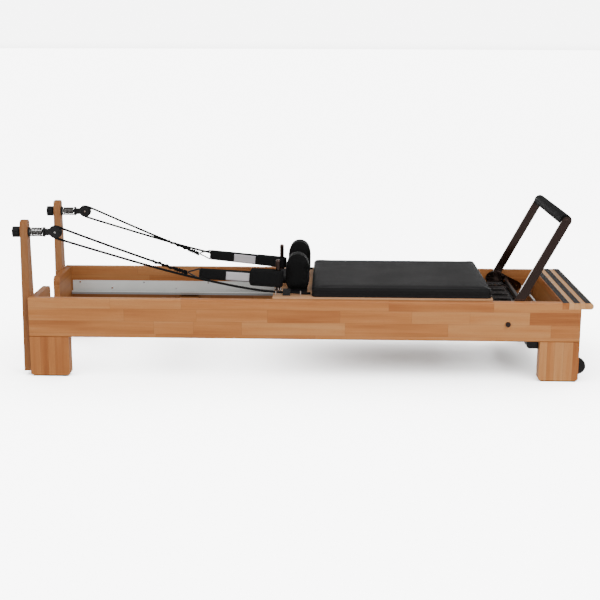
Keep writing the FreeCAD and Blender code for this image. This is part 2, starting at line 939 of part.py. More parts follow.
FRONT_AXLE = -80
REAR_AXLE = 770
FRONT_GUIDE = -20
REAR_GUIDE = 712


def roller_brackets():
    """Angle brackets under the board with the load wheels' axles and the guide rollers' bolts."""
    pieces = []
    height = "ledge_height + wheel_radius + running_gap"
    guide_line = "-(half_width - rail_thickness - track_wall - guide_radius - running_gap)"
    for name, x, guide in (("front", FRONT_AXLE, FRONT_GUIDE), ("rear", REAR_AXLE, REAR_GUIDE)):
        plate = box(name + "_plate", (x - 30, -300, 226), (x + 30, -296, "board_bottom"))
        flange = box(name + "_flange", (x - 30, -296, "board_bottom - 4"), (x + 30, -268, "board_bottom"))
        axle_start = (x, "-wheel_line - wheel_width / 2 - 1", height)
        axle = rod(name + "_axle", "Y", axle_start, "axle_radius", "44")
        nut = rod(name + "_nut", "Y", (x, -296, height), "7", "6")
        collar = rod(name + "_collar", "Y", (x, -309, height), "7", "9")
        bracket = join(name + "_bracket", [plate, flange, axle, nut, collar])
        foot = "guide_bottom - 1"
        bolt = rod(name + "_guide_bolt", "Z", (guide, guide_line, foot), "axle_radius", f"board_bottom - ({foot})")
        head = rod(name + "_guide_head", "Z", (guide, guide_line, "guide_bottom - 4"), "7", "3.7")
        guide_piece = join(name + "_guide", [bolt, head])
        pieces += [bracket, mirrored("far_" + name + "_bracket", bracket)]
        pieces += [guide_piece, mirrored("far_" + name + "_guide", guide_piece)]
    return group("roller_brackets", pieces)


def load_wheels(name, x):
    """The near and far wheels on one axle line."""
    wheel = ring_wheel(name + "_near", "wheel_radius", "axle_radius + fit_gap", "wheel_width")
    place(wheel, x, "-wheel_line", "ledge_height + wheel_radius + running_gap")
    return pair(name, wheel)


def guide_roller(name, x):
    """Roller on a vertical bolt, running on the track's wall."""
    line = "-(half_width - rail_thickness - track_wall - guide_radius - running_gap)"
    tyre = rod(name + "_tyre", "Z", (x, line, "guide_bottom"), "guide_radius", "guide_width")
    bore_start = (x, line, "guide_bottom - 1")
    bore = rod(name + "_bore", "Z", bore_start, "axle_radius + fit_gap", "guide_width + 2")
    return cut(name, tyre, [bore])


def spring_hook_bar():
    """Square bar between the bearers with a hook for each spring."""
    bar = box("hook_square", (344, -235, SPRING_HEIGHT - 12), (362, 235, SPRING_HEIGHT + 6))
    hooks = []
    for number, y in enumerate(SPRING_LINES):
        hooks.append(rod(f"hook_{number}", "X", (362, y, SPRING_HEIGHT), "5", "12"))
    return join("spring_hook_bar", [bar, *hooks])


def strap_pegs():
    """Upright pegs that the straps are hung on."""
    foot = ("peg_place", "-peg_line", "board_top")
    stem = rod("peg_stem", "Z", foot, "peg_radius", "peg_top - board_top - 8")
    crown = doc.addObject("Part::Ellipsoid", "peg_crown")
    bind(crown, "Radius1", "8")
    bind(crown, "Radius2", "peg_radius")
    bind(crown, "Radius3", "peg_radius")
    place(crown, "peg_place", "-peg_line", "peg_top - 8")
    collar = rod("peg_collar", "Z", foot, "16", "6")
    return pair("strap_pegs", join("near_peg", [stem, crown, collar]))


CLEAT_START = -80
CLEAT_LINE = -295
ROPE_ON_BOARD = 362


def rope_cleats():
    """Rope clamp, guide pins and a fairlead on the board's edge."""
    block = box(
        "cleat_block",
        (CLEAT_START, CLEAT_LINE - 12, "board_top"),
        (CLEAT_START + 32, CLEAT_LINE + 12, 376),
    )
    bore = rod("cleat_bore", "X", (CLEAT_START - 1, CLEAT_LINE, ROPE_ON_BOARD), "rope_radius + 1", "34")
    pieces = [cut("near_cleat", block, [bore])]
    pins = (
        (-110, CLEAT_LINE - 14, 22),
        (-4, CLEAT_LINE - 14, 22),
        (-100, CLEAT_LINE + 9, 30),
        (-90, CLEAT_LINE + 9, 30),
    )
    for number, (x, y, height) in enumerate(pins):
        pieces.append(rod(f"cleat_pin_{number}", "Z", (x, y, "board_top"), "2.6", height))
    return pair("rope_cleats", group("near_cleat_set", pieces))


# ---------------------------------------------------------------- rests


def shoulder_pad():
    """Padded shoulder rest with a half-round top."""
    body = new_body("near_shoulder_pad")
    side = sketch(body, "rest_side", "XZ_Plane", "rest_inner")
    outline(
        side,
        [
            ("rest_start", "board_top + rest_plate"),
            ("rest_end", "board_top + rest_plate"),
            ("rest_end", "rest_top"),
            ("rest_start", "rest_top"),
        ],
    )
    block = pad(body, side, "rest_outer - rest_inner")
    top = size("rest_top")
    rounded(body, block, "(rest_end - rest_start) / 2 - 1", lambda b: near(b.ZMin, top) and b.YLength > 10)
    return body


def shoulder_base():
    """Plate under a shoulder rest with two studs that drop into the board."""
    plate = box(
        "rest_plate_near",
        ("rest_start + 4", "-rest_plate_edge", "board_top"),
        ("rest_end - 4", "-rest_inner - 4", "board_top + rest_plate"),
    )
    studs = []
    for number, (x, y) in enumerate(stud_places()[::2]):
        foot = (x, y, "board_bottom")
        studs.append(rod(f"rest_stud_{number}", "Z", foot, "stud_radius", "board_top - board_bottom + 2"))
    return join("near_shoulder_base", [plate, *studs])


def headrest_board():
    return box(
        "headrest_board",
        ("headrest_start", "-headrest_half_width", "board_top + 0.3"),
        ("headrest_end", "headrest_half_width", "board_top + 12"),
    )


def headrest_pad():
    body = new_body("headrest_pad")
    plan = sketch(body, "headrest_plan", "XY_Plane", "board_top + 12")
    outline(
        plan,
        [
            ("headrest_start", "-headrest_half_width"),
            ("headrest_end", "-headrest_half_width"),
            ("headrest_end", "headrest_half_width"),
            ("headrest_start", "headrest_half_width"),
        ],
    )
    block = pad(body, plan, "28")
    rounded(body, block, "14", lambda b: b.ZLength > 20)
    return body


# ---------------------------------------------------------------- ropes and straps


WRAP_START = math.radians(68.25)
WRAP_END = math.radians(252.5)


def pulley_points(turns):
    """Corners of the rope's path round its pulley, from the top run to the bottom run."""
    reach = size("groove_radius + rope_radius + 0.5")
    share = (WRAP_END - WRAP_START) / turns
    corner = reach / math.cos(share / 2)
    points = []
    for number in range(turns):
        angle = WRAP_START + share * (number + 0.5)
        points.append(
            (
                size("pulley_centre") + corner * math.cos(angle),
                -size("rope_line"),
                size("pulley_height") + corner * math.sin(angle),
            )
        )
    return points


UPPER_RUN = [
    (-507, -231, 433.5),
    (-600, -245, 468),
    (-700, -259, 506),
    (-800, -274, 545),
    (-900, -289.5, 585),
    (-1000, -304, 625.4),
]
LOWER_RUN = [
    (-1000, -305.5, 576.4),
    (-900, -304.5, 546.5),
    (-790, -303.5, 514),
    (-680, -302, 482),
    (-575, -301, 453),
    (-470, -300, 427),
    (-365, -298.5, 403.5),
    (-265, -297, 383.5),
    (-175, -296, 369.5),
    (-105, -295, 362.5),
    (-60, -295, 362),
    (-25, -295, 361),
    (10, -290, 357),
    (36, -276, 355.2),
]


def tube_along(points, radius):
    """A round tube along straight runs joined by the largest arcs that fit, and its length."""
    corners = [Vector(*p) for p in points]
    edges = []
    radii = []
    start = corners[0]
    for before, here, after in zip(corners, corners[1:], corners[2:]):
        inward = (before - here).normalize()
        outward = (after - here).normalize()
        half_turn = (math.pi - inward.getAngle(outward)) / 2
        reach = 0.45 * min((before - here).Length, (after - here).Length)
        arc_radius = reach / math.tan(half_turn)
        entry = here + inward * reach
        leave = here + outward * reach
        bisector = (inward + outward).normalize()
        middle = here + bisector * (arc_radius / math.cos(half_turn) - arc_radius)
        edges.append(Part.makeLine(start, entry))
        edges.append(Part.Arc(entry, middle, leave).toShape())
        radii.append(round(arc_radius, 1))
        start = leave
    edges.append(Part.makeLine(start, corners[-1]))
    path = Part.Wire(edges)
    direction = (corners[1] - corners[0]).normalize()
    section = Part.Wire(Part.makeCircle(radius, corners[0], direction))
    return path.makePipeShell([section], True, False), path.Length, radii


def rope():
    """Rope from the strap's ring over the pulley to the cleat, with its tail on the board."""
    points = [*UPPER_RUN, *pulley_points(3), *LOWER_RUN]
    radius = size("rope_radius")
    tube, length, radii = tube_along(points, radius)
    piece = doc.addObject("Part::Feature", "near_rope")
    piece.Shape = tube
    expected = math.pi * radius**2 * length
    print("rope length", round(length), "volume ratio", round(tube.Volume / expected, 4))
    print("arc radii", radii)
    return piece


STRAP_SLOPE = 4.3
STRAP_START = (-443, -226, 427)


def strap():
    """Strap looped round its peg, its padded sleeve, and the triangular ring at the rope's end."""
    length = size("peg_place") - STRAP_START[0]
    side = size("peg_line") + STRAP_START[1]
    gap = size("peg_radius") + 3.4
    wall = 4
    height = 44

    def loop(start, offset, tall):
        outer = gap + offset
        points = [
            Vector(start, -3 - offset / 2, 0),
            Vector(length, -side - outer, 0),
            Vector(length + outer, -side, 0),
            Vector(length, -side + outer, 0),
            Vector(start, 3 + offset / 2, 0),
        ]
        edges = [
            Part.makeLine(points[0], points[1]),
            Part.Arc(points[1], points[2], points[3]).toShape(),
            Part.makeLine(points[3], points[4]),
            Part.makeLine(points[4], points[0]),
        ]
        face = Part.Face(Part.Wire(edges))
        face.translate(Vector(0, 0, -tall / 2))
        return face.extrude(Vector(0, 0, tall))

    band = loop(0, wall, height).cut(loop(-1, 0, 3 * height))
    sleeve = loop(214, 10, 63).cut(loop(200, 0, 3 * height))
    whole = band.fuse(sleeve).removeSplitter()
    whole.Placement = FreeCAD.Placement(
        Vector(*STRAP_START), FreeCAD.Rotation(Vector(0, 1, 0), STRAP_SLOPE)
    )
    base_x, base_y, base_z = STRAP_START
    apex = Vector(-503, base_y - 4, 431)
    low = Vector(base_x - 4, base_y, base_z - 21)
    high = Vector(base_x - 4, base_y, base_z + 21)
    ring = Part.makeSphere(2.5, apex)
    for start, end in ((apex, low), (low, high), (high, apex)):
        ring = ring.fuse(Part.makeCylinder(2.5, (end - start).Length, start, end - start))
        ring = ring.fuse(Part.makeSphere(2.5, end))
    piece = doc.addObject("Part::Feature", "near_strap")
    piece.Shape = Part.makeCompound([whole, ring.cut(whole)])
    return piece


# ---------------------------------------------------------------- the whole machine


def build():
    """Every node of the machine."""
    near_rail = side_rail()
    post = rope_post()
    near_track = track()
    near_knob = knob()
    near_pulley = pulley_wheel()
    arm = footbar_arm()
    near_wheel = transport_wheel()
    near_pad = shoulder_pad()
    near_base = shoulder_base()
    near_rope = rope()
    near_strap = strap()
    front_guide = guide_roller("near_front_guide_roller", FRONT_GUIDE)
    rear_guide = guide_roller("near_rear_guide_roller", REAR_GUIDE)
    return [
        near_rail,
        mirrored("far_side_rail", near_rail),
        head_panel(),
        foot_panels(),
        standing_platform(),
        platform_grip_strips(),
        frame_legs(),
        leg_pads(),
        post,
        mirrored("far_rope_post", post),
        cross_braces(),
        rail_blocks(),
        near_track,
        mirrored("far_track", near_track),
        track_screws(),
        track_bumpers(),
        foot_cross_beam(),
        spring_bar(),
        footbar_pivot_bolts(),
        wheel_brackets(),
        tension_spring(),
        pulley_block(),
        pulley_pins(),
        resistance_springs(),
        near_rope,
        mirrored("far_rope", near_rope),
        near_knob,
        mirrored("far_adjuster_knob", near_knob),
        near_pulley,
        mirrored("far_pulley_wheel", near_pulley),
        near_wheel,
        mirrored("far_transport_wheel", near_wheel),
        arm,
        mirrored("far_footbar_arm", arm),
        footbar_tube(),
        footbar_pad(),
        footbar_fittings(),
        lock_plate(),
        footbar_latch_rod(),
        carriage_board(),
        mattress(),
        carriage_bearers(),
        roller_brackets(),
        spring_hook_bar(),
        strap_pegs(),
        rope_cleats(),
        near_strap,
        mirrored("far_strap", near_strap),
        near_pad,
        mirrored("far_shoulder_pad", near_pad),
        near_base,
        mirrored("far_shoulder_base", near_base),
        headrest_board(),
        headrest_pad(),
        load_wheels("front_load_wheels", FRONT_AXLE),
        load_wheels("rear_load_wheels", REAR_AXLE),
        front_guide,
        mirrored("far_front_guide_roller", front_guide),
        rear_guide,
        mirrored("far_rear_guide_roller", rear_guide),
    ]


def write(nodes):
    """Check every object and write each node to its own STEP file."""
    doc.recompute()
    for thing in doc.Objects:
        if {"Invalid", "Error"} & set(thing.State):
            raise RuntimeError(f"{thing.Label} failed: {thing.State}")
    for node in nodes:
        if node.Shape.isNull() or not node.Shape.isValid():
            raise RuntimeError(f"{node.Label} has no valid shape")
    os.makedirs("parts", exist_ok=True)
    for node in nodes:
        node.Shape.exportStep(f"parts/{node.Label}.step")
    print(len(nodes), "nodes")


write(build())
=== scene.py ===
import math

import bmesh
import bpy
from mathutils import Matrix, Vector, noise
from mathutils.bvhtree import BVHTree


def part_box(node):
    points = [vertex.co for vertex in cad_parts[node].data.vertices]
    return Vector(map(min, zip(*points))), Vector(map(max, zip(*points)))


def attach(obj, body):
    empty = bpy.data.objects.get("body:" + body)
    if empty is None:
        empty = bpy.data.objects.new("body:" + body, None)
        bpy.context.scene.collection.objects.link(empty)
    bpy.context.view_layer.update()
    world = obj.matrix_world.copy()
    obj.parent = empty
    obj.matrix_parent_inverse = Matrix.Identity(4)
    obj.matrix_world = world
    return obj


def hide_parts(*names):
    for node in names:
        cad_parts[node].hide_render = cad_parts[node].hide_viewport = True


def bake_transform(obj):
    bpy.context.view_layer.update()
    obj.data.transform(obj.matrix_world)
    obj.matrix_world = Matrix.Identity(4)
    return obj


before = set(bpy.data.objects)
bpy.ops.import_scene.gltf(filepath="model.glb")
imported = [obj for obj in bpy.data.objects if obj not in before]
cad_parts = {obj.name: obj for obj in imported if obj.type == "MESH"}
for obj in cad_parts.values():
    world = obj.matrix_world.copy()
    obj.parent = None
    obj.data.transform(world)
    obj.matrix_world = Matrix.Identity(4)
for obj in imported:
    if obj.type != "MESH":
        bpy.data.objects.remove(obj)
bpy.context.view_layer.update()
SIDES = (("near", -1), ("far", 1))

# ------------------------------------------------------------------ camera

YAW, PITCH, ROLL = 0.0275, 0.2215, 0.0036
LENS_MM = 69.88
EYE = Vector((0.1274, -5.1758, 1.4285))


def make_camera():
    data = bpy.data.cameras.new("camera")
    data.lens = LENS_MM
    data.sensor_width = 36
    data.clip_end = 200
    camera = bpy.data.objects.new("camera", data)
    ahead = Vector((-math.sin(YAW), math.cos(YAW), 0)) * math.cos(PITCH) - Vector((0, 0, math.sin(PITCH)))
    level = Vector((math.cos(YAW), math.sin(YAW), 0))
    upright = level.cross(ahead)
    right = level * math.cos(ROLL) + upright * math.sin(ROLL)
    up = upright * math.cos(ROLL) - level * math.sin(ROLL)
    turn = Matrix((right, up, -ahead)).transposed().to_4x4()
    camera.matrix_world = Matrix.Translation(EYE) @ turn
    bpy.context.collection.objects.link(camera)
    bpy.context.scene.camera = camera


# ------------------------------------------------------------------ shader nodes


def linear(*srgb):
    """A colour given as 0 to 255 sRGB, as the linear colour a shader takes."""
    def one(v):
        v /= 255
        return v / 12.92 if v <= 0.04045 else ((v + 0.055) / 1.055) ** 2.4
    return (*[one(v) for v in srgb], 1.0)


class Paint:
    """A material with short ways to add its nodes."""

    def __init__(self, name, **values):
        self.material = bpy.data.materials.new(name)
        self.material.use_nodes = True
        self.tree = self.material.node_tree
        self.shader = self.tree.nodes["Principled BSDF"]
        for key, value in values.items():
            self.shader.inputs[key.replace("_", " ")].default_value = value
        self.place = None

    def add(self, kind, **properties):
        node = self.tree.nodes.new("ShaderNode" + kind)
        for key, value in properties.items():
            setattr(node, key, value)
        return node

    def feed(self, socket, value):
        if isinstance(value, bpy.types.NodeSocket):
            self.tree.links.new(value, socket)
        else:
            socket.default_value = value

    def math(self, operation, *values):
        node = self.add("Math", operation=operation)
        for socket, value in zip(node.inputs, values):
            self.feed(socket, value)
        return node.outputs[0]

    def coordinates(self, output="Object"):
        if self.place is None:
            self.place = self.add("TexCoord")
        split = self.add("SeparateXYZ")
        self.feed(split.inputs[0], self.place.outputs[output])
        return split.outputs

    def vector(self, *values):
        node = self.add("CombineXYZ")
        for socket, value in zip(node.inputs, values):
            self.feed(socket, value)
        return node.outputs[0]

    def noise(self, vector, scale=1.0, detail=2.0, rough=0.5):
        node = self.add("TexNoise")
        self.feed(node.inputs["Vector"], vector)
        self.feed(node.inputs["Scale"], scale)
        self.feed(node.inputs["Detail"], detail)
        self.feed(node.inputs["Roughness"], rough)
        return node.outputs["Fac"]

    def mix(self, share, first, second, blend="MIX"):
        node = self.add("Mix", data_type="RGBA", blend_type=blend)
        self.feed(node.inputs[0], share)
        self.feed(node.inputs[6], first)
        self.feed(node.inputs[7], second)
        return node.outputs[2]

    def ramp(self, value, stops):
        node = self.add("ValToRGB")
        while len(node.color_ramp.elements) < len(stops):
            node.color_ramp.elements.new(0.5)
        for element, (place, colour) in zip(node.color_ramp.elements, stops):
            element.position = place
            element.color = colour
        self.feed(node.inputs[0], value)
        return node.outputs[0]

    def scaled(self, value, low, high):
        node = self.add("MapRange")
        self.feed(node.inputs[0], value)
        node.inputs[3].default_value = low
        node.inputs[4].default_value = high
        return node.outputs[0]

    def line_at(self, value, place, half_width):
        """1 within half a width of a place, else 0."""
        return self.math("LESS_THAN", self.math("ABSOLUTE", self.math("SUBTRACT", value, place)), half_width)

    def colour(self, value):
        self.feed(self.shader.inputs["Base Color"], value)

    def roughness(self, value):
        self.feed(self.shader.inputs["Roughness"], value)

    def bump(self, height, distance, strength=1.0):
        node = self.add("Bump")
        node.inputs["Strength"].default_value = strength
        node.inputs["Distance"].default_value = distance
        self.feed(node.inputs["Height"], height)
        self.feed(self.shader.inputs["Normal"], node.outputs[0])


def on(name_or_object, paint):
    """Gives a CAD node or an object one material."""
    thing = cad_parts[name_or_object] if isinstance(name_or_object, str) else name_or_object
    thing.data.materials.clear()
    thing.data.materials.append(paint.material)


# ------------------------------------------------------------------ materials

BEECH = [
    (0.0, linear(128, 68, 30)),
    (0.25, linear(162, 96, 47)),
    (0.5, linear(185, 119, 65)),
    (0.75, linear(197, 138, 85)),
    (1.0, linear(208, 156, 105)),
]
BUTT_HALF = 0.0006
SEAM_HALF = 0.0005


def beech(name, along, across, edges=(), rows=(((), (0.5,)),), shade=1.0, inner=0.0):
    """Glued beech staves: edges part the rows; each row has its butt joints in metres and its tones."""
    paint = Paint(name, Coat_Weight=0.08, Coat_Roughness=0.25, Specular_IOR_Level=0.25)
    place = paint.coordinates()
    length, width = place["XYZ".index(along)], place["XYZ".index(across)]
    other = place[({0, 1, 2} - {"XYZ".index(along), "XYZ".index(across)}).pop()]
    row = 0.0
    for edge in edges:
        row = paint.math("ADD", row, paint.math("GREATER_THAN", width, edge))
    tone = 0.0
    butt = 0.0
    for number, (cuts, tones) in enumerate(rows):
        inside = paint.math("COMPARE", row, float(number), 0.1)
        tone = paint.math("MULTIPLY_ADD", inside, tones[0], tone)
        for cut, before, after in zip(cuts, tones, tones[1:]):
            step = paint.math("MULTIPLY", inside, paint.math("GREATER_THAN", length, cut))
            tone = paint.math("MULTIPLY_ADD", step, after - before, tone)
            near = paint.line_at(length, cut, BUTT_HALF)
            butt = paint.math("MULTIPLY_ADD", near, inside, butt)
    shift = paint.math("MULTIPLY_ADD", row, 2.7, paint.math("MULTIPLY", tone, 9.0))
    grain_place = paint.vector(
        paint.math("MULTIPLY_ADD", length, 2.2, shift),
        paint.math("MULTIPLY_ADD", width, 46.0, shift),
        paint.math("MULTIPLY", other, 46.0),
    )
    grain = paint.noise(grain_place, 1.0, 5.0, 0.62)
    cloud_place = paint.vector(paint.math("ADD", length, shift), paint.math("MULTIPLY", width, 6.0), other)
    cloud = paint.noise(cloud_place, 3.0, 2.0)
    fine = [paint.math("MULTIPLY", v, n) for v, n in ((length, 150.0), (width, 900.0), (other, 900.0))]
    fleck = paint.noise(paint.vector(*fine), 1.0, 1.0)
    value = paint.math("ADD", tone, paint.scaled(grain, -0.34, 0.34))
    value = paint.math("ADD", value, paint.scaled(cloud, -0.14, 0.14))
    wood = paint.ramp(value, BEECH)
    dark = paint.math("MULTIPLY", paint.math("GREATER_THAN", fleck, 0.66), 0.2)
    wood = paint.mix(dark, wood, linear(118, 62, 32))
    seams = butt
    for edge in edges:
        near = paint.line_at(width, edge, SEAM_HALF)
        seams = paint.math("ADD", seams, near)
    glue = paint.math("MULTIPLY", paint.math("MINIMUM", seams, 1.0), 0.4)
    wood = paint.mix(glue, wood, linear(104, 56, 30))
    # Painted shade: faces nearer the middle than inner (the rail's inner faces) are darkened a third of the
    # way towards a deep brown.
    if inner:
        inside = paint.math("LESS_THAN", paint.math("ABSOLUTE", other), inner)
        wood = paint.mix(paint.math("MULTIPLY", inside, 0.34), wood, linear(70, 34, 14))
    if shade != 1.0:
        wood = paint.mix(1.0, wood, (shade, shade, shade, 1.0), "MULTIPLY")
    paint.colour(wood)
    paint.roughness(paint.scaled(grain, 0.38, 0.52))
    paint.bump(paint.math("ADD", grain, paint.math("MULTIPLY", fleck, 0.25)), 0.0004, 0.35)
    return paint


def metal(name, colour, rough, spread=0.08, along="X"):
    """Metal with fine drawn or rolled marks along one axis."""
    paint = Paint(name, Metallic=1.0)
    place = paint.coordinates()
    stretch = [paint.math("MULTIPLY", v, 8.0 if a == along else 420.0) for a, v in zip("XYZ", place)]
    marks = paint.noise(paint.vector(*stretch), 1.0, 3.0)
    smudge = paint.noise(paint.vector(*place), 9.0, 3.0)
    dull = tuple(0.72 * c for c in colour[:3]) + (1.0,)
    paint.colour(paint.mix(paint.scaled(smudge, 0.0, 0.5), colour, dull))
    both = paint.math("ADD", paint.scaled(marks, -spread, spread), paint.scaled(smudge, -spread, spread))
    paint.roughness(paint.math("ADD", both, rough))
    return paint


def moulded(name, colour, rough=0.45, grain=900.0, depth=0.00015, **values):
    """Moulded plastic, rubber or powder coat with a fine orange-peel grain."""
    paint = Paint(name, Specular_IOR_Level=0.22, **values)
    place = paint.vector(*paint.coordinates())
    fine = paint.noise(place, grain, 2.0)
    wide = paint.noise(place, 14.0, 3.0)
    light = tuple(min(1.0, 1.35 * c + 0.001) for c in colour[:3]) + (1.0,)
    paint.colour(paint.mix(paint.scaled(wide, 0.0, 0.55), colour, light))
    paint.roughness(paint.math("ADD", paint.scaled(wide, -0.08, 0.1), rough))
    paint.bump(fine, depth, 0.5)
    return paint


def leatherette(name, colour, rough=0.42, cell=520.0, depth=0.0003, specular=0.16):
    """Upholstery vinyl: fine pebbled grain, worn a little glossier in wide patches."""
    paint = Paint(name, Specular_IOR_Level=specular)
    place = paint.vector(*paint.coordinates())
    cells = paint.add("TexVoronoi", feature="DISTANCE_TO_EDGE")
    paint.feed(cells.inputs["Vector"], place)
    cells.inputs["Scale"].default_value = cell
    pebble = paint.math("MINIMUM", cells.outputs["Distance"], 0.25)
    wide = paint.noise(place, 5.0, 4.0)
    light = tuple(1.35 * c for c in colour[:3]) + (1.0,)
    paint.colour(paint.mix(paint.scaled(wide, 0.0, 0.6), colour, light))
    paint.roughness(paint.math("ADD", paint.scaled(wide, -0.1, 0.12), rough))
    creases = paint.math("MULTIPLY", paint.noise(place, 60.0, 2.0), 0.5)
    paint.bump(paint.math("ADD", pebble, creases), depth, 0.4)
    return paint


def braided(name, colour, pitch=0.011, strands=2.0):
    """A braided cord, from a tube's UV: metres along it and turns round it."""
    paint = Paint(name, Roughness=0.82, Specular_IOR_Level=0.15)
    along, round_it, _ = paint.coordinates("UV")
    heights = []
    for way in (1.0, -1.0):
        phase = paint.math("MULTIPLY_ADD", round_it, way * strands, paint.math("DIVIDE", along, pitch))
        heights.append(paint.math("SINE", paint.math("MULTIPLY", phase, 2 * math.pi)))
    weave = paint.math("MAXIMUM", *heights)
    fuzz = paint.noise(paint.vector(*paint.coordinates()), 1400.0, 2.0)
    # Painted highlight: the raised crowns of the strands are painted lighter than the cord's own colour.
    light = tuple(1.5 * c + 0.001 for c in colour[:3]) + (1.0,)
    paint.colour(paint.mix(paint.scaled(weave, 0.0, 0.7), colour, light))
    paint.bump(paint.math("MULTIPLY_ADD", fuzz, 0.3, weave), 0.0004, 0.5)
    return paint


def webbing(name, colour, thread=0.0016, rib=0.0044):
    """Woven webbing, from the band's UV in metres: cross threads and ribs along it."""
    paint = Paint(name, Roughness=0.78, Specular_IOR_Level=0.15)
    along, across, _ = paint.coordinates("UV")
    weft = paint.math("SINE", paint.math("MULTIPLY", along, 2 * math.pi / thread))
    warp = paint.math("SINE", paint.math("MULTIPLY", across, 2 * math.pi / rib))
    weave = paint.math("MULTIPLY_ADD", paint.math("MULTIPLY", weft, warp), 0.6, warp)
    wide = paint.noise(paint.vector(*paint.coordinates()), 30.0, 3.0)
    light = tuple(1.5 * c + 0.001 for c in colour[:3]) + (1.0,)
    # The colour share is partly a painted highlight on the weave's raised threads and partly a random lighter
    # tone in wide patches.
    shade = paint.math("MULTIPLY_ADD", weave, 0.18, paint.scaled(wide, 0.1, 0.6))
    paint.colour(paint.mix(shade, colour, light))
    paint.bump(weave, 0.0006, 0.6)
    return paint


def plywood(name):
    """Sealed pale board with a fine straight grain."""
    paint = Paint(name, Specular_IOR_Level=0.25)
    x, y, z = paint.coordinates()
    stretch = [paint.math("MULTIPLY", v, n) for v, n in ((x, 3.0), (y, 90.0), (z, 500.0))]
    grain = paint.noise(paint.vector(*stretch), 1.0, 4.0)
    paint.colour(paint.ramp(grain, [(0.25, linear(170, 122, 84)), (0.7, linear(202, 158, 118))]))
    paint.roughness(paint.scaled(grain, 0.5, 0.62))
    paint.bump(grain, 0.0003, 0.3)
    return paint


def pinned_block(colour, start=-0.08, end=-0.048):
    """Rope cleats: a black block between two X places, bright steel pins and screws past them."""
    paint = Paint("cleat_block", Specular_IOR_Level=0.22)
    x, y, z = paint.coordinates()
    block = paint.math("MULTIPLY", paint.math("GREATER_THAN", x, start), paint.math("LESS_THAN", x, end))
    wear = paint.noise(paint.vector(x, y, z), 60.0, 3.0)
    steel = paint.mix(wear, (0.62, 0.61, 0.6, 1), (0.8, 0.79, 0.78, 1))
    black = paint.mix(wear, colour, tuple(1.4 * c for c in colour[:3]) + (1.0,))
    paint.colour(paint.mix(block, steel, black))
    paint.feed(paint.shader.inputs["Metallic"], paint.math("SUBTRACT", 1.0, block))
    paint.roughness(paint.math("MULTIPLY_ADD", block, 0.25, paint.scaled(wear, 0.14, 0.26)))
    paint.bump(paint.noise(paint.vector(x, y, z), 900.0, 2.0), 0.0001, 0.4)
    return paint


def ribbed(name, colour, pitch=0.003):
    """Grip strip with ribs along Y and worn specks."""
    paint = Paint(name, Roughness=0.75, Specular_IOR_Level=0.2)
    x, y, z = paint.coordinates()
    ribs = paint.math("SINE", paint.math("MULTIPLY", x, 2 * math.pi / pitch))
    specks = paint.noise(paint.vector(x, y, z), 700.0, 3.0)
    light = tuple(1.7 * c for c in colour[:3]) + (1.0,)
    paint.colour(paint.mix(paint.scaled(specks, -0.3, 1.1), colour, light))
    paint.bump(paint.math("MULTIPLY_ADD", specks, 0.6, ribs), 0.0005, 0.5)
    return paint


RAIL_EDGES = (0.192, 0.247, 0.301)
TRACK_LIP = 0.224
RAIL_SHADED_INNER = 0.3455
RAIL_ROWS = (
    ((-0.62, 0.06, 0.83), (0.5, 0.42, 0.55, 0.48)),
    ((-0.628, -0.459, -0.253, 0.187, 0.623, 1.057), (0.45, 0.5, 0.42, 0.6, 0.44, 0.6, 0.4)),
    ((-0.755, -0.446, -0.143, 0.165, 0.469, 0.714, 0.966), (0.5, 0.43, 0.52, 0.34, 0.48, 0.6, 0.63, 0.28)),
    ((-0.813, -0.51, 0.371, 0.813), (0.58, 0.62, 0.46, 0.33, 0.52)),
)
LEG_EDGES = (-1.119, -1.086, -1.056, 0.0, 1.045, 1.077, 1.115, 1.154)
LEG_TONES = (0.42, 0.3, 0.46, 0.36, 0.6, 0.5, 0.66, 0.56, 0.22)


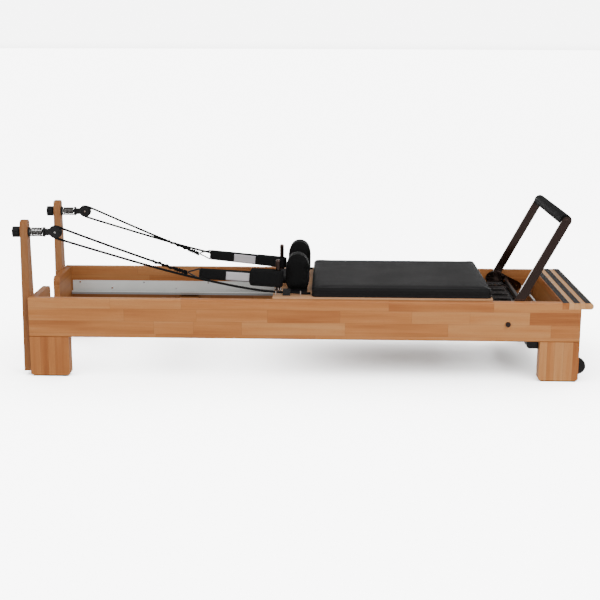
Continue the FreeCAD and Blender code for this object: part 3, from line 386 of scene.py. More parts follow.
def dress_frame():
    rail = beech("beech_rail", "X", "Z", RAIL_EDGES, RAIL_ROWS, inner=RAIL_SHADED_INNER)
    legs = beech("beech_leg", "Z", "X", LEG_EDGES, [((), (tone,)) for tone in LEG_TONES])
    panel_rows = [
        ((-0.12,), (0.5, 0.4)),
        ((0.2,), (0.42, 0.52)),
        ((-0.2,), (0.46, 0.56)),
        ((0.05,), (0.52, 0.42)),
    ]
    panel = beech("beech_panel", "Y", "Z", (0.215, 0.26, 0.305), panel_rows, 0.72)
    post = beech("beech_post", "Z", "Y", shade=0.56)
    deck_rows = [((), (tone,)) for tone in (0.3, 0.95, 0.85, 0.95, 0.85)]
    deck = beech("beech_deck", "Y", "X", (1.128, 1.15, 1.174, 1.196), deck_rows)
    block = beech("beech_block", "X", "Z", shade=0.6)
    for side, _ in SIDES:
        on(side + "_side_rail", rail)
        on(side + "_rope_post", post)
    on("frame_legs", legs)
    on("head_panel", panel)
    on("foot_panels", panel)
    on("standing_platform", deck)
    on("cross_braces", block)
    on("rail_blocks", block)
    board = plywood("sealed_board")
    for name in ("carriage_board", "carriage_bearers", "headrest_board"):
        on(name, board)
    on("platform_grip_strips", ribbed("grip_strip", linear(40, 38, 38)))
    track = metal("drawn_aluminium", (0.8, 0.82, 0.8, 1), 0.5, 0.04)
    track.shader.inputs["Metallic"].default_value = 0.35
    plain = track.shader.inputs["Base Color"].links[0].from_socket
    # Painted shadow: below the lip's top the track's colour is mixed three quarters of the way to near black,
    # shade on the lip's face.
    lip_painted_shadow = track.math("LESS_THAN", track.coordinates()[2], TRACK_LIP)
    track.colour(track.mix(track.math("MULTIPLY", lip_painted_shadow, 0.75), plain, (0.12, 0.12, 0.12, 1)))
    steel = metal("bright_steel", (0.75, 0.74, 0.73, 1), 0.16, 0.05)
    nickel = metal("black_nickel", (0.085, 0.058, 0.05, 1), 0.14, 0.05, along="Z")
    coil = metal("oiled_spring", (0.16, 0.155, 0.15, 1), 0.24, 0.06)
    dark_coil = metal("black_spring", (0.09, 0.085, 0.085, 1), 0.3, 0.08)
    coat = moulded("black_coat", linear(20, 19, 20), 0.32, 500.0, Coat_Weight=0.15, Coat_Roughness=0.2)
    plastic = moulded("black_plastic", linear(20, 20, 21), 0.42)
    rubber = moulded("black_rubber", linear(26, 25, 25), 0.68, 1300.0, 0.0003)
    wheels = ["front_load_wheels", "rear_load_wheels"]
    for side, _ in SIDES:
        on(side + "_track", track)
        on(side + "_footbar_arm", nickel)
        on(side + "_shoulder_base", coat)
        on(side + "_transport_wheel", rubber)
        for name in ("_adjuster_knob", "_pulley_wheel", "_front_guide_roller", "_rear_guide_roller"):
            wheels.append(side + name)
    for name in wheels:
        on(name, plastic)
    for name in ("leg_pads", "track_bumpers"):
        on(name, rubber)
    for name in ("strap_pegs", "footbar_lock_plates"):
        on(name, nickel)
    for name in (
        "foot_cross_beam",
        "spring_bar",
        "pulley_blocks",
        "wheel_brackets",
        "roller_brackets",
        "spring_hook_bar",
    ):
        on(name, coat)
    for name in ("footbar_pivot_bolts", "footbar_fittings"):
        on(name, nickel)
    for name in ("track_screws", "footbar_latch_rod", "pulley_pins", "footbar_tube"):
        on(name, steel)
    on("rope_cleats", pinned_block(linear(20, 20, 21)))
    return coil, dark_coil, coat


# ------------------------------------------------------------------ mesh making


def link(name, mesh):
    thing = bpy.data.objects.new(name, mesh)
    bpy.context.collection.objects.link(thing)
    return thing


def build(name, points, faces, uvs=None):
    mesh = bpy.data.meshes.new(name)
    mesh.from_pydata([tuple(p) for p in points], [], faces)
    if uvs:
        layer = mesh.uv_layers.new(name="UVMap")
        for polygon, corners in zip(mesh.polygons, uvs):
            for loop, uv in zip(polygon.loop_indices, corners):
                layer.data[loop].uv = uv
    for polygon in mesh.polygons:
        polygon.use_smooth = True
    return link(name, mesh)


def tube(name, path, radius, sides=10, closed=False):
    """A tube along a path, its UV in metres along it and turns round it."""
    path = [Vector(p) for p in path]
    count = len(path)
    tangents = []
    for i in range(count):
        before = path[i - 1] if i or closed else path[i]
        after = path[(i + 1) % count] if i + 1 < count or closed else path[i]
        tangents.append((after - before).normalized())
    side = tangents[0].orthogonal().normalized()
    sections = []
    for i in range(count):
        if i:
            side = tangents[i - 1].rotation_difference(tangents[i]) @ side
        side = (side - tangents[i] * side.dot(tangents[i])).normalized()
        sections.append((side.copy(), tangents[i].cross(side)))
    twist = 0.0
    if closed:
        back = tangents[-1].rotation_difference(tangents[0]) @ sections[-1][0]
        twist = math.atan2(back.dot(sections[0][1]), back.dot(sections[0][0]))
    points, travelled, along = [], 0.0, []
    for i in range(count):
        travelled += (path[i] - path[i - 1]).length if i else 0.0
        along.append(travelled)
        a, b = sections[i]
        for k in range(sides):
            angle = 2 * math.pi * k / sides - twist * i / count
            points.append(path[i] + (a * math.cos(angle) + b * math.sin(angle)) * radius)
    faces, uvs = [], []
    for i in range(count if closed else count - 1):
        j = (i + 1) % count
        u0, u1 = along[i], along[j] if j else travelled + (path[0] - path[-1]).length
        for k in range(sides):
            n = (k + 1) % sides
            faces.append((i * sides + k, i * sides + n, j * sides + n, j * sides + k))
            v0, v1 = k / sides, (k + 1) / sides
            uvs.append(((u0, v0), (u0, v1), (u1, v1), (u1, v0)))
    if not closed:
        faces.append(tuple(reversed(range(sides))))
        faces.append(tuple((count - 1) * sides + k for k in range(sides)))
        uvs += [[(0, 0)] * sides, [(travelled, 0)] * sides]
    return build(name, points, faces, uvs)


def band(name, path, thickness, height, power=8.0, sides=20, ends=0.0):
    """A flat band on edge along a level path: rounded section, ends rounded off over a length."""
    path = [Vector(p) for p in path]
    lengths = [0.0]
    for before, after in zip(path, path[1:]):
        lengths.append(lengths[-1] + (after - before).length)
    points, faces, uvs = [], [], []
    for i, here in enumerate(path):
        tangent = (path[min(i + 1, len(path) - 1)] - path[max(i - 1, 0)]).normalized()
        outward = Vector((tangent.y, -tangent.x, 0)).normalized()
        near_end = min(lengths[i], lengths[-1] - lengths[i])
        share = 1.0
        if ends and near_end < ends:
            share = math.sqrt(max(0.02, 1 - (1 - near_end / ends) ** 2))
        for k in range(sides):
            angle = 2 * math.pi * k / sides
            c, s = math.cos(angle), math.sin(angle)
            reach = (abs(c) ** power + abs(s) ** power) ** (-1 / power)
            tall = height * (0.55 + 0.45 * share) if ends else height
            sideways = outward * (c * reach * thickness / 2 * share)
            points.append(here + sideways + Vector((0, 0, s * reach * tall / 2)))
    count = len(path)
    for i in range(count - 1):
        for k in range(sides):
            n = (k + 1) % sides
            faces.append((i * sides + k, (i + 1) * sides + k, (i + 1) * sides + n, i * sides + n))
            v0 = points[i * sides + k].z - path[i].z
            v1 = points[i * sides + n].z - path[i].z
            u0, u1 = lengths[i], lengths[i + 1]
            uvs.append(((u0, v0), (u1, v0), (u1, v1), (u0, v1)))
    faces.append(tuple(range(sides)))
    faces.append(tuple((count - 1) * sides + k for k in reversed(range(sides))))
    uvs += [[(0, 0)] * sides, [(lengths[-1], 0)] * sides]
    return build(name, points, faces, uvs)


def joined(name, things):
    """Several mesh objects as one, their UVs and materials kept."""
    with bpy.context.temp_override(active_object=things[0], selected_editable_objects=things):
        bpy.ops.object.join()
    things[0].name = name
    return things[0]


def extruded(name, outline, axis, low, high):
    """A closed prism from an outline in the plane across an axis."""
    spots = []
    for level in (low, high):
        for a, b in outline:
            spots.append({"Y": (a, level, b), "Z": (a, b, level)}[axis])
    count = len(outline)
    faces = [tuple(range(count)), tuple(range(2 * count - 1, count - 1, -1))]
    for k in range(count):
        n = (k + 1) % count
        faces.append((k, k + count, n + count, n))
    thing = build(name, spots, faces)
    edit = bmesh.new()
    edit.from_mesh(thing.data)
    bmesh.ops.recalc_face_normals(edit, faces=edit.faces)
    edit.to_mesh(thing.data)
    edit.free()
    return thing


def round_corners(corners, steps=8):
    """An outline from (x, y, radius) corners."""
    outline = []
    count = len(corners)
    for i, (x, y, radius) in enumerate(corners):
        here = Vector((x, y))
        before = (Vector(corners[i - 1][:2]) - here).normalized()
        after = (Vector(corners[(i + 1) % count][:2]) - here).normalized()
        half = before.angle(after) / 2
        middle = here + (before + after).normalized() * radius / math.sin(half)
        first = here + before * radius / math.tan(half) - middle
        last = here + after * radius / math.tan(half) - middle
        turn = first.angle_signed(last)
        for k in range(steps + 1):
            outline.append(tuple(middle + Matrix.Rotation(-turn * k / steps, 2) @ first))
    return outline


def apply_all(thing):
    """Puts an object's evaluated mesh in place of its own."""
    graph = bpy.context.evaluated_depsgraph_get()
    mesh = bpy.data.meshes.new_from_object(thing.evaluated_get(graph))
    thing.modifiers.clear()
    thing.data = mesh


def stuffed(thing, voxel, cap, rest_z, pressure=4.0, frames=20):
    """Fine mesh of a soft form, swollen by cloth simulation above rest_z, each move held within a cap."""
    remesh = thing.modifiers.new("remesh", "REMESH")
    remesh.mode = "VOXEL"
    remesh.voxel_size = voxel
    apply_all(thing)
    smooth = thing.modifiers.new("smooth", "SMOOTH")
    smooth.iterations = 3
    apply_all(thing)
    start = [v.co.copy() for v in thing.data.vertices]
    cloth = thing.modifiers.new("cloth", "CLOTH")
    cloth.settings.quality = 4
    cloth.settings.use_pressure = True
    cloth.settings.uniform_pressure_force = pressure
    cloth.settings.effector_weights.gravity = 0
    group = thing.vertex_groups.new(name="seat")
    group.add([v.index for v in thing.data.vertices if v.co.z < rest_z], 1.0, "REPLACE")
    cloth.settings.vertex_group_mass = "seat"
    scene = bpy.context.scene
    for number in range(1, frames + 1):
        scene.frame_set(number)
    graph = bpy.context.evaluated_depsgraph_get()
    swollen = [v.co.copy() for v in thing.evaluated_get(graph).data.vertices]
    thing.modifiers.clear()
    for vertex, old, new in zip(thing.data.vertices, start, swollen):
        move = new - old
        vertex.co = old + move * min(1.0, cap / max(move.length, 1e-9))
    scene.frame_set(1)
    subdivision = thing.modifiers.new("subdivision", "SUBSURF")
    subdivision.levels = subdivision.render_levels = 1
    apply_all(thing)
    for polygon in thing.data.polygons:
        polygon.use_smooth = True
    return thing


def snapped(path, thing, lift):
    """A path laid on a mesh's surface, and lifted off it."""
    tree = BVHTree.FromObject(thing, bpy.context.evaluated_depsgraph_get())
    laid = []
    for point in path:
        spot, normal, _, _ = tree.find_nearest(Vector(point))
        laid.append(spot + normal * lift)
    for _ in range(2):
        laid = [(laid[i - 1] + 2 * p + laid[(i + 1) % len(laid)]) / 4 for i, p in enumerate(laid)]
    return laid


def resampled(outline, step):
    """A closed outline with points every step."""
    points = [Vector(p) for p in outline] + [Vector(outline[0])]
    laid = []
    for a, b in zip(points, points[1:]):
        pieces = max(1, int((b - a).length / step))
        laid += [a.lerp(b, k / pieces) for k in range(pieces)]
    return laid


# ------------------------------------------------------------------ ropes

PULLEY = Vector((-1.049, -0.306, 0.618))
WRAP = (math.radians(68.25), math.radians(252.5))
WRAP_RADIUS = 0.025
UPPER_RUN = [
    (-0.507, -0.231, 0.4335),
    (-0.6, -0.245, 0.468),
    (-0.7, -0.259, 0.506),
    (-0.8, -0.274, 0.545),
    (-0.9, -0.2895, 0.585),
    (-1.0, -0.304, 0.6254),
]
LOWER_RUN = [
    (-1.0, -0.3055, 0.5764),
    (-0.9, -0.3045, 0.5465),
    (-0.79, -0.3035, 0.514),
    (-0.68, -0.302, 0.482),
    (-0.575, -0.301, 0.453),
    (-0.47, -0.3, 0.427),
    (-0.365, -0.2985, 0.4035),
    (-0.265, -0.297, 0.3835),
    (-0.175, -0.296, 0.3695),
    (-0.105, -0.295, 0.3625),
    (-0.06, -0.295, 0.362),
    (-0.025, -0.295, 0.361),
    (0.01, -0.29, 0.357),
    (0.036, -0.276, 0.3552),
]
ROPE_DIAMETER = 0.009
KNOT = Vector((-0.504, -0.2288, 0.4323))
# The cord is drawn this much over its declared radius, so that it shows at the size of the picture.
CORD_DRAWN_OVER = 0.0005
SPLICE_END = -0.65
DOUBLED_REACH, DOUBLED_TURNS, DOUBLED_RADIUS = 0.0052, 4.5, 0.0037
WHIP_REACH, WHIP_TURNS, WHIP_RADIUS = 0.0062, 4, 0.0034
KNOT_RADIUS = 0.0036


def rope_route():
    """Control points from the knot, round the pulley and back to the carriage."""
    corner = WRAP_RADIUS / math.cos((WRAP[1] - WRAP[0]) / 6)
    wrap = []
    for k in range(3):
        angle = WRAP[0] + (WRAP[1] - WRAP[0]) * (k + 0.5) / 3
        wrap.append(PULLEY + Vector((corner * math.cos(angle), 0, corner * math.sin(angle))))
    return [Vector(p) for p in UPPER_RUN] + wrap + [Vector(p) for p in LOWER_RUN]


def spline_path(points):
    """The smooth line of a NURBS spline through its control points."""
    curve = bpy.data.curves.new("route", "CURVE")
    curve.dimensions = "3D"
    curve.resolution_u = 12
    spline = curve.splines.new("NURBS")
    spline.points.add(len(points) - 1)
    for spot, point in zip(spline.points, points):
        spot.co = (*point, 1)
    spline.order_u = 3
    spline.use_endpoint_u = True
    thing = bpy.data.objects.new("route", curve)
    bpy.context.collection.objects.link(thing)
    graph = bpy.context.evaluated_depsgraph_get()
    mesh = bpy.data.meshes.new_from_object(thing.evaluated_get(graph))
    path = [v.co.copy() for v in mesh.vertices]
    bpy.data.objects.remove(thing)
    return path


def coil_round(path, radius, turns, per_turn=14):
    """A helix round a path."""
    lengths = [0.0]
    for a, b in zip(path, path[1:]):
        lengths.append(lengths[-1] + (b - a).length)
    count = int(turns * per_turn)
    laid = []
    for k in range(count + 1):
        want = lengths[-1] * k / count
        i = max(j for j in range(len(path)) if lengths[j] <= want + 1e-9)
        i = min(i, len(path) - 2)
        share = (want - lengths[i]) / max(1e-9, lengths[i + 1] - lengths[i])
        here = path[i].lerp(path[i + 1], share)
        tangent = (path[i + 1] - path[i]).normalized()
        side = tangent.cross(Vector((0, 1, 0))).normalized()
        angle = 2 * math.pi * turns * k / count
        laid.append(here + (side * math.cos(angle) + tangent.cross(side) * math.sin(angle)) * radius)
    return laid


def tied(centre, ring=0.0046, cord=0.003, steps=90):
    """The closed line of a small knot round a point."""
    laid = []
    for k in range(steps):
        angle = 4 * math.pi * k / steps
        reach = ring + cord * math.cos(1.5 * angle)
        across = cord * math.sin(1.5 * angle)
        laid.append(centre + Vector((across, reach * math.cos(angle), reach * math.sin(angle))))
    return laid


def bend_with_carriage(thing):
    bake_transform(thing)


def make_ropes(cord_paint):
    route = spline_path(rope_route())
    for side, sign in SIDES:
        path = [Vector((p.x, -sign * p.y, p.z)) for p in route]
        rope = tube(side + "_rope_cord", path, ROPE_DIAMETER / 2 + CORD_DRAWN_OVER, 12)
        on(rope, cord_paint)
        bend_with_carriage(rope)
        head = path[: next(i for i, p in enumerate(path) if p.x < SPLICE_END)]
        turns = coil_round(head, DOUBLED_REACH, DOUBLED_TURNS)
        doubled = tube(side + "_rope_doubled", turns, DOUBLED_RADIUS, 8)
        binding = coil_round(head[:4], WHIP_REACH, WHIP_TURNS)
        whipping = tube(side + "_rope_whipping", binding, WHIP_RADIUS, 8)
        centre = Vector((KNOT.x, -sign * KNOT.y, KNOT.z))
        knot = tube(side + "_rope_knot", tied(centre), KNOT_RADIUS, 8, closed=True)
        splice = joined(side + "_rope_splice", [doubled, whipping, knot])
        on(splice, cord_paint)
        bend_with_carriage(splice)
        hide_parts(side + "_rope")


# ------------------------------------------------------------------ straps

STRAP_SLOPE = math.radians(4.3)
STRAP_START = Vector((-0.443, -0.226, 0.427))
PEG = Vector((-0.1055, -0.19, 0.0))
WEB_GAP, SLEEVE_GAP, RING_HALF = 0.0118, 0.0182, 0.0032
LABEL_SPAN = (0.112, 0.214)
WEB_THICK, WEB_TALL = 0.0026, 0.046
SLEEVE_THICK, NEAR_SLEEVE_TALL, FAR_SLEEVE_TALL = 0.0105, 0.073, 0.047
SLEEVE_ENDS = 0.014
STITCH_LIFT, STITCH_PLACE = 0.0048, 0.39
LABEL_THICK, LABEL_TALL, LABEL_LIFT, LABEL_Z = 0.0012, 0.037, 0.0021, -0.0015
RING_CORNERS = ((-0.058, 0.002, 0.004), (-0.002, -0.0215, 0.004), (-0.002, 0.0215, 0.004))
RING_WIRE, RING_Y = 0.0033, -0.0005


def leg_place(x, gap, inner):
    """Sideways place of one of the strap's two legs, x along from the ring's end."""
    share = x / (PEG.x - STRAP_START.x)
    way = 1 if inner else -1
    return way * RING_HALF * (1 - share) + (PEG.y - STRAP_START.y + way * gap) * share


def strap_line(start, gap, steps=26):
    """Level path from the ring's end of a strap, round its peg and back."""
    end = PEG.x - STRAP_START.x
    places = [start + (end - start) * k / steps for k in range(steps)]
    path = [Vector((x, leg_place(x, gap, False), 0)) for x in places]
    for k in range(17):
        angle = -math.pi / 2 + math.pi * k / 16
        turn = (end + gap * math.cos(angle), PEG.y - STRAP_START.y + gap * math.sin(angle), 0)
        path.append(Vector(turn))
    path += [Vector((x, leg_place(x, gap, True), 0)) for x in reversed(places)]
    return path


def strap_space(thing, sign):
    """Moves a piece drawn along the strap into place on its side."""
    turn = Matrix.Translation(STRAP_START) @ Matrix.Rotation(STRAP_SLOPE, 4, "Y")
    if sign > 0:
        turn = Matrix.Scale(-1, 4, (0, 1, 0)) @ turn
    thing.data.transform(turn)
    if sign > 0:
        thing.data.flip_normals()
    thing.data.update()


def stitch_row(name, path, lift, z, step=0.005):
    """Short raised stitches beside a path."""
    things = []
    for a, b in zip(path, path[1:]):
        piece = (b - a).length
        tangent = (b - a).normalized()
        outward = Vector((tangent.y, -tangent.x, 0))
        count = max(1, int(piece / step))
        for k in range(count):
            here = a.lerp(b, (k + 0.5) / count) + outward * lift + Vector((0, 0, z))
            things.append((here - tangent * 0.0014, here + tangent * 0.0014))
    points, faces = [], []
    for start, end in things:
        base = len(points)
        run = (end - start).normalized()
        out = Vector((run.y, -run.x, 0))
        for spot in (start, end):
            for a, b in ((0.0005, 0), (0, 0.0005), (-0.0004, 0), (0, -0.0005)):
                points.append(spot + out * a + Vector((0, 0, b)))
        for k in range(4):
            n = (k + 1) % 4
            faces.append((base + k, base + n, base + 4 + n, base + 4 + k))
        faces += [(base + 3, base + 2, base + 1, base), (base + 4, base + 5, base + 6, base + 7)]
    uvs = [[(0, 0)] * len(f) for f in faces]
    return build(name, points, faces, uvs)


def make_straps(web_paint, pad_paint, label_paint, thread_paint, ring_paint):
    """Webbing loops with a padded sleeve, its stitching, a ring, and a blank label on the camera's side."""
    for side, sign in SIDES:
        web = band(side + "_strap_web", strap_line(0.0, WEB_GAP), WEB_THICK, WEB_TALL, power=10.0)
        on(web, web_paint)
        sleeve_path = strap_line(LABEL_SPAN[1], SLEEVE_GAP)
        tall = NEAR_SLEEVE_TALL if sign < 0 else FAR_SLEEVE_TALL
        sleeve_name = side + "_strap_sleeve"
        sleeve = band(sleeve_name, sleeve_path, SLEEVE_THICK, tall, power=3.6, sides=28, ends=SLEEVE_ENDS)
        on(sleeve, pad_paint)
        rows = []
        for way in (1, -1):
            height = way * tall * STITCH_PLACE
            rows.append(stitch_row(f"{side}_stitch_{way}", sleeve_path[2:-2], STITCH_LIFT, height))
        stitches = joined(side + "_strap_stitches", rows)
        on(stitches, thread_paint)
        inner_leg = sign > 0
        lift = LABEL_LIFT if inner_leg else -LABEL_LIFT
        places = [LABEL_SPAN[0] + (LABEL_SPAN[1] - LABEL_SPAN[0]) * k / 12 for k in range(13)]
        line = [Vector((x, leg_place(x, WEB_GAP, inner_leg) + lift, LABEL_Z)) for x in places]
        label = band(side + "_strap_label", line, LABEL_THICK, LABEL_TALL, power=12.0)
        on(label, label_paint)
        ring_path = [(x, RING_Y, z) for x, z in round_corners(RING_CORNERS, 6)]
        ring = tube(side + "_strap_ring", ring_path, RING_WIRE, 10, closed=True)
        on(ring, ring_paint)
        for piece in (web, sleeve, stitches, label, ring):
            strap_space(piece, sign)
            bend_with_carriage(piece)
        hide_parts(side + "_strap")


# ------------------------------------------------------------------ padded parts

WELT_RADIUS, WELT_DROP = 0.0013, 0.0105
HEM_RADIUS, HEM_RISE = 0.0009, 0.006
SLAB_SINK = 0.004
SEAT_RISE = 0.003
PAD_FOOT, PAD_INSET = 0.02, 0.005
PAD_VOXEL, PAD_CAP = 0.0045, 0.0045
PAD_WELT_RADIUS, PAD_WELT_INSET = 0.0014, 0.008

def piping(name, outline_points, thing, radius, paint, lift=0.0003):
    """A welt laid along an outline on a cushion's surface."""
    welt = tube(name, snapped(resampled(outline_points, 0.01), thing, lift), radius, 8, closed=True)
    on(welt, paint)
    welt.parent = thing
    return welt


def slab(name, node, corner, inset, voxel, cap, paint):
    """A flat upholstered cushion in place of a CAD node, with a welt at its top and a hem at its foot."""
    low, high = (Vector(c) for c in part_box(node))
    x0, y0, x1, y1 = low.x + inset, low.y + inset, high.x - inset, high.y - inset
    outline = round_corners([(x0, y0, corner), (x1, y0, corner), (x1, y1, corner), (x0, y1, corner)])
    cushion = extruded(name, outline, "Z", low.z - SLAB_SINK, high.z - 0.5 * inset)
    bevel = cushion.modifiers.new("bevel", "BEVEL")
    bevel.width = 0.01
    bevel.segments = 3
    bevel.limit_method = "ANGLE"
    apply_all(cushion)
    stuffed(cushion, voxel, cap, low.z + SEAT_RISE)
    on(cushion, paint)
    edge = [(x, y, high.z - WELT_DROP) for x, y in outline]
    welt = piping(name + "_welt", edge, cushion, WELT_RADIUS, paint)
    base = [(x, y, low.z + HEM_RISE) for x, y in outline]
    hem = piping(name + "_hem", base, cushion, HEM_RADIUS, paint)
    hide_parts(node)
    return cushion


def make_shoulder_pads(paint):
    """Upright cushions with a round top, a welt round each face."""
    for side, _ in SIDES:
        node = side + "_shoulder_pad"
        low, high = (Vector(c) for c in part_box(node))
        middle = (low.x + high.x) / 2
        width = high.x - low.x
        outline = []
        top = high.z - width / 2
        for k in range(25):
            angle = math.pi * k / 24
            outline.append((middle + width / 2 * math.cos(angle), top + width / 2 * math.sin(angle)))
        for x_sign in (-1, 1):
            x, z = middle + x_sign * (width / 2 - PAD_FOOT), low.z + PAD_FOOT
            for k in range(9):
                angle = (math.pi if x_sign < 0 else 1.5 * math.pi) + math.pi / 2 * k / 8
                outline.append((x + PAD_FOOT * math.cos(angle), z + PAD_FOOT * math.sin(angle)))
        pad = extruded(node + "_cushion", outline, "Y", low.y + PAD_INSET, high.y - PAD_INSET)
        bevel = pad.modifiers.new("bevel", "BEVEL")
        bevel.width = 0.006
        bevel.segments = 3
        bevel.limit_method = "ANGLE"
        bevel.angle_limit = math.radians(50)
        apply_all(pad)
        stuffed(pad, PAD_VOXEL, PAD_CAP, low.z + SEAT_RISE)
        on(pad, paint)
        for number, y in enumerate((low.y + PAD_WELT_INSET, high.y - PAD_WELT_INSET)):
            face = [(x, y, z) for x, z in outline]
            welt = piping(f"{node}_welt_{number}", face, pad, PAD_WELT_RADIUS, paint)
        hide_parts(node)
        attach(pad, side + "_shoulder_rest")


ROLLER_BORE = 0.0145
SEAM_ANGLE, SEAM_RADIUS, SEAM_LIFT = 208, 0.0012, 0.0002


def make_footbar_roller(paint):
    """Foam roller in a stitched cover: rounded ends, slight fullness, a seam along it."""
    low, high = (Vector(c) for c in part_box("footbar_pad"))
    centre = (low + high) / 2
    radius = (high.z - low.z) / 2
    reach = (high.y - low.y) / 2
    profile = [
        (-reach, ROLLER_BORE),
        (-reach, radius - 0.006),
        (-reach + 0.0015, radius - 0.0022),
        (-reach + 0.006, radius - 0.0004),
    ]
    for k in range(41):
        y = -reach + 0.012 + (2 * reach - 0.024) * k / 40
        ripple = 0.0003 * noise.noise(Vector((y * 9, 0, 0)))
        profile.append((y, radius + ripple))
    profile += [(-y, r) for y, r in reversed(profile[:4])]
    sides = 48
    points, faces = [], []
    for y, r in profile:
        for k in range(sides):
            angle = 2 * math.pi * k / sides
            points.append((centre.x + r * math.cos(angle), y, centre.z + r * math.sin(angle)))
    count = len(profile)
    for i in range(count):
        j = (i + 1) % count
        for k in range(sides):
            n = (k + 1) % sides
            faces.append((i * sides + k, i * sides + n, j * sides + n, j * sides + k))
    roller = build("footbar_roller", points, faces)
    on(roller, paint)
    angle = math.radians(SEAM_ANGLE)
    x = centre.x + (radius + SEAM_LIFT) * math.cos(angle)
    z = centre.z + (radius + SEAM_LIFT) * math.sin(angle)
    seam_path = [(x, -reach + 0.01 + (2 * reach - 0.02) * k / 60, z) for k in range(61)]
    seam = tube("footbar_roller_seam", seam_path, SEAM_RADIUS, 6)
    on(seam, paint)
    seam.parent = roller
    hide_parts("footbar_pad")
    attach(roller, "footbar")


# ------------------------------------------------------------------ springs

SPRING_LINES = (-0.2, -0.1, 0.0, 0.1, 0.2)
SPRING_Z = 0.3
SPRING_ENDS = (0.374, 0.938)
SPRING_TURNS = 96
SPRING_REACH, SPRING_WIRE = 0.0118, 0.0019
TENSION_TURNS = 8
TENSION_WIRE = 0.0024


def make_tension_springs(paint):
    """The open coils between the rope posts and the pulley blocks."""
    low, high = (Vector(c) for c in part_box("tension_springs"))
    height = (low.z + high.z) / 2
    radius = (high.z - low.z) / 2 - TENSION_WIRE
    coils = []
    for side, sign in SIDES:
        y = sign * (high.y - radius - TENSION_WIRE)
        axis = [Vector((low.x + TENSION_WIRE, y, height)), Vector((high.x - TENSION_WIRE, y, height))]
        line = coil_round(axis, radius, TENSION_TURNS, 20)
        coils.append(tube(side + "_tension_coil", line, TENSION_WIRE, 8))
    springs = joined("tension_coils", coils)
    on(springs, paint)
    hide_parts("tension_springs")
    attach(springs, "frame")


def make_springs(paint):
    things = []
    start, end = SPRING_ENDS
    for number, y in enumerate(SPRING_LINES):
        axis = [Vector((start + 0.012, y, SPRING_Z)), Vector((end - 0.012, y, SPRING_Z))]
        turns = SPRING_TURNS
        coil = coil_round(axis, SPRING_REACH, turns, 12)
        path = [Vector((start, y, SPRING_Z)), Vector((start + 0.008, y, SPRING_Z + 0.004))] + coil
        path += [Vector((end - 0.006, y, SPRING_Z + 0.004)), Vector((end, y, SPRING_Z))]
        things.append(tube(f"resistance_coil_{number}", path, SPRING_WIRE, 6))
    coils = joined("resistance_coils", things)
    on(coils, paint)
    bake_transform(coils)
    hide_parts("resistance_springs")


# ------------------------------------------------------------------ floor and light

FLOOR_RADIUS = 150
FLOOR_SUN, SUN_ANGLE = 24.0, 140
HORIZON = 6.6
ZENITH = 0.5
BELOW = 0.08
SKY_BAND = (0.035, 0.09)
GROUND_BAND = (-0.03, -0.001)


def make_stage():
    """A wide pale floor, lit by a soft sun of its own so that it stays near white."""
    count = 96
    rim = [(math.cos(2 * math.pi * k / count), math.sin(2 * math.pi * k / count)) for k in range(count)]
    floor = build("floor", [(FLOOR_RADIUS * x, FLOOR_RADIUS * y, 0.0) for x, y in rim], [tuple(range(count))])
    paint = Paint("pale_floor", Roughness=0.9, Specular_IOR_Level=0.0)
    place = paint.vector(*paint.coordinates())
    paint.colour(paint.mix(paint.noise(place, 3.0, 3.0), (0.93, 0.93, 0.93, 1), (0.95, 0.95, 0.95, 1)))
    on(floor, paint)
    floor.visible_diffuse = False
    floor.visible_glossy = False
    lit = bpy.data.collections.new("floor_only")
    lit.objects.link(floor)
    data = bpy.data.lights.new("floor_sun", "SUN")
    data.energy = FLOOR_SUN
    data.angle = math.radians(SUN_ANGLE)
    sun = bpy.data.objects.new("floor_sun", data)
    sun.light_linking.receiver_collection = lit
    bpy.context.collection.objects.link(sun)


def strength_by_height(tree, value, low, high, start, end):
    """A smooth step from start to end while the view's height goes from low to high."""
    ramp = tree.nodes.new("ShaderNodeMapRange")
    ramp.interpolation_type = "SMOOTHSTEP"
    for socket, number in zip(ramp.inputs[1:5], (low, high, start, end)):
        socket.default_value = number
    tree.links.new(value, ramp.inputs[0])
    return ramp.outputs[0]


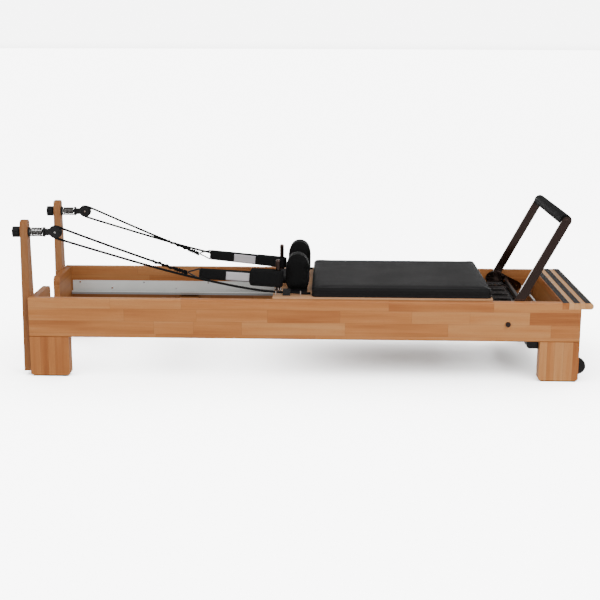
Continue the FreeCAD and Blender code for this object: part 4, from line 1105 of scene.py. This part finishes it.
def make_light():
    """A world bright at the horizon and dim overhead, with four soft lamps aimed at the object."""
    world = bpy.data.worlds.new("studio")
    bpy.context.scene.world = world
    world.use_nodes = True
    tree = world.node_tree
    background = tree.nodes["Background"]
    background.inputs["Color"].default_value = (1, 1, 1, 1)
    coordinates = tree.nodes.new("ShaderNodeTexCoord")
    split = tree.nodes.new("ShaderNodeSeparateXYZ")
    tree.links.new(coordinates.outputs["Generated"], split.inputs[0])
    above = strength_by_height(tree, split.outputs[2], *SKY_BAND, HORIZON, ZENITH)
    below = strength_by_height(tree, split.outputs[2], *GROUND_BAND, BELOW, 1.0)
    product = tree.nodes.new("ShaderNodeMath")
    product.operation = "MULTIPLY"
    tree.links.new(above, product.inputs[0])
    tree.links.new(below, product.inputs[1])
    tree.links.new(product.outputs[0], background.inputs["Strength"])
    for name, spot, size, power in (
        ("key", (2.6, -3.4, 4.4), 2.2, 150),
        ("front", (1.6, -5.5, 2.6), 2.5, 80),
        ("fill", (-3.6, -1.6, 3.6), 2.2, 60),
        ("back", (0.2, 3.4, 4.4), 2.6, 25),
    ):
        data = bpy.data.lights.new(name, "AREA")
        data.size = size
        data.energy = power
        light = bpy.data.objects.new(name, data)
        light.location = spot
        light.rotation_euler = (Vector((0, 0, 0.3)) - Vector(spot)).to_track_quat("-Z", "Y").to_euler()
        bpy.context.collection.objects.link(light)


# ------------------------------------------------------------------ the scene


make_camera()
cord = braided("braided_cord", linear(8, 8, 9))
make_ropes(cord)
tension_paint, coil_paint, coat_paint = dress_frame()
thread = braided("stitch_thread", linear(40, 40, 42), 0.001)
make_straps(
    webbing("black_webbing", linear(14, 14, 15)),
    webbing("strap_cover", linear(14, 14, 15), 0.0022, 0.0022),
    moulded("label_patch", linear(178, 174, 178), 0.7, 500.0),
    thread,
    coat_paint,
)
vinyl = leatherette("black_vinyl", linear(13, 12, 13), 0.58)
mattress = slab(
    "mattress_cushion", "mattress", corner=0.024, inset=0.0005, voxel=0.006, cap=0.004, paint=vinyl
)
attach(mattress, "carriage")
headrest = slab(
    "headrest_cushion", "headrest_pad", corner=0.014, inset=0.005, voxel=0.005, cap=0.0045, paint=vinyl
)
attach(headrest, "headrest")
make_shoulder_pads(leatherette("rest_vinyl", linear(12, 12, 12), 0.66, specular=0.08))
make_footbar_roller(leatherette("roller_vinyl", linear(8, 8, 8), 0.66, 700.0, 0.0001, 0.06))
make_tension_springs(tension_paint)
make_springs(coil_paint)
make_stage()
make_light()
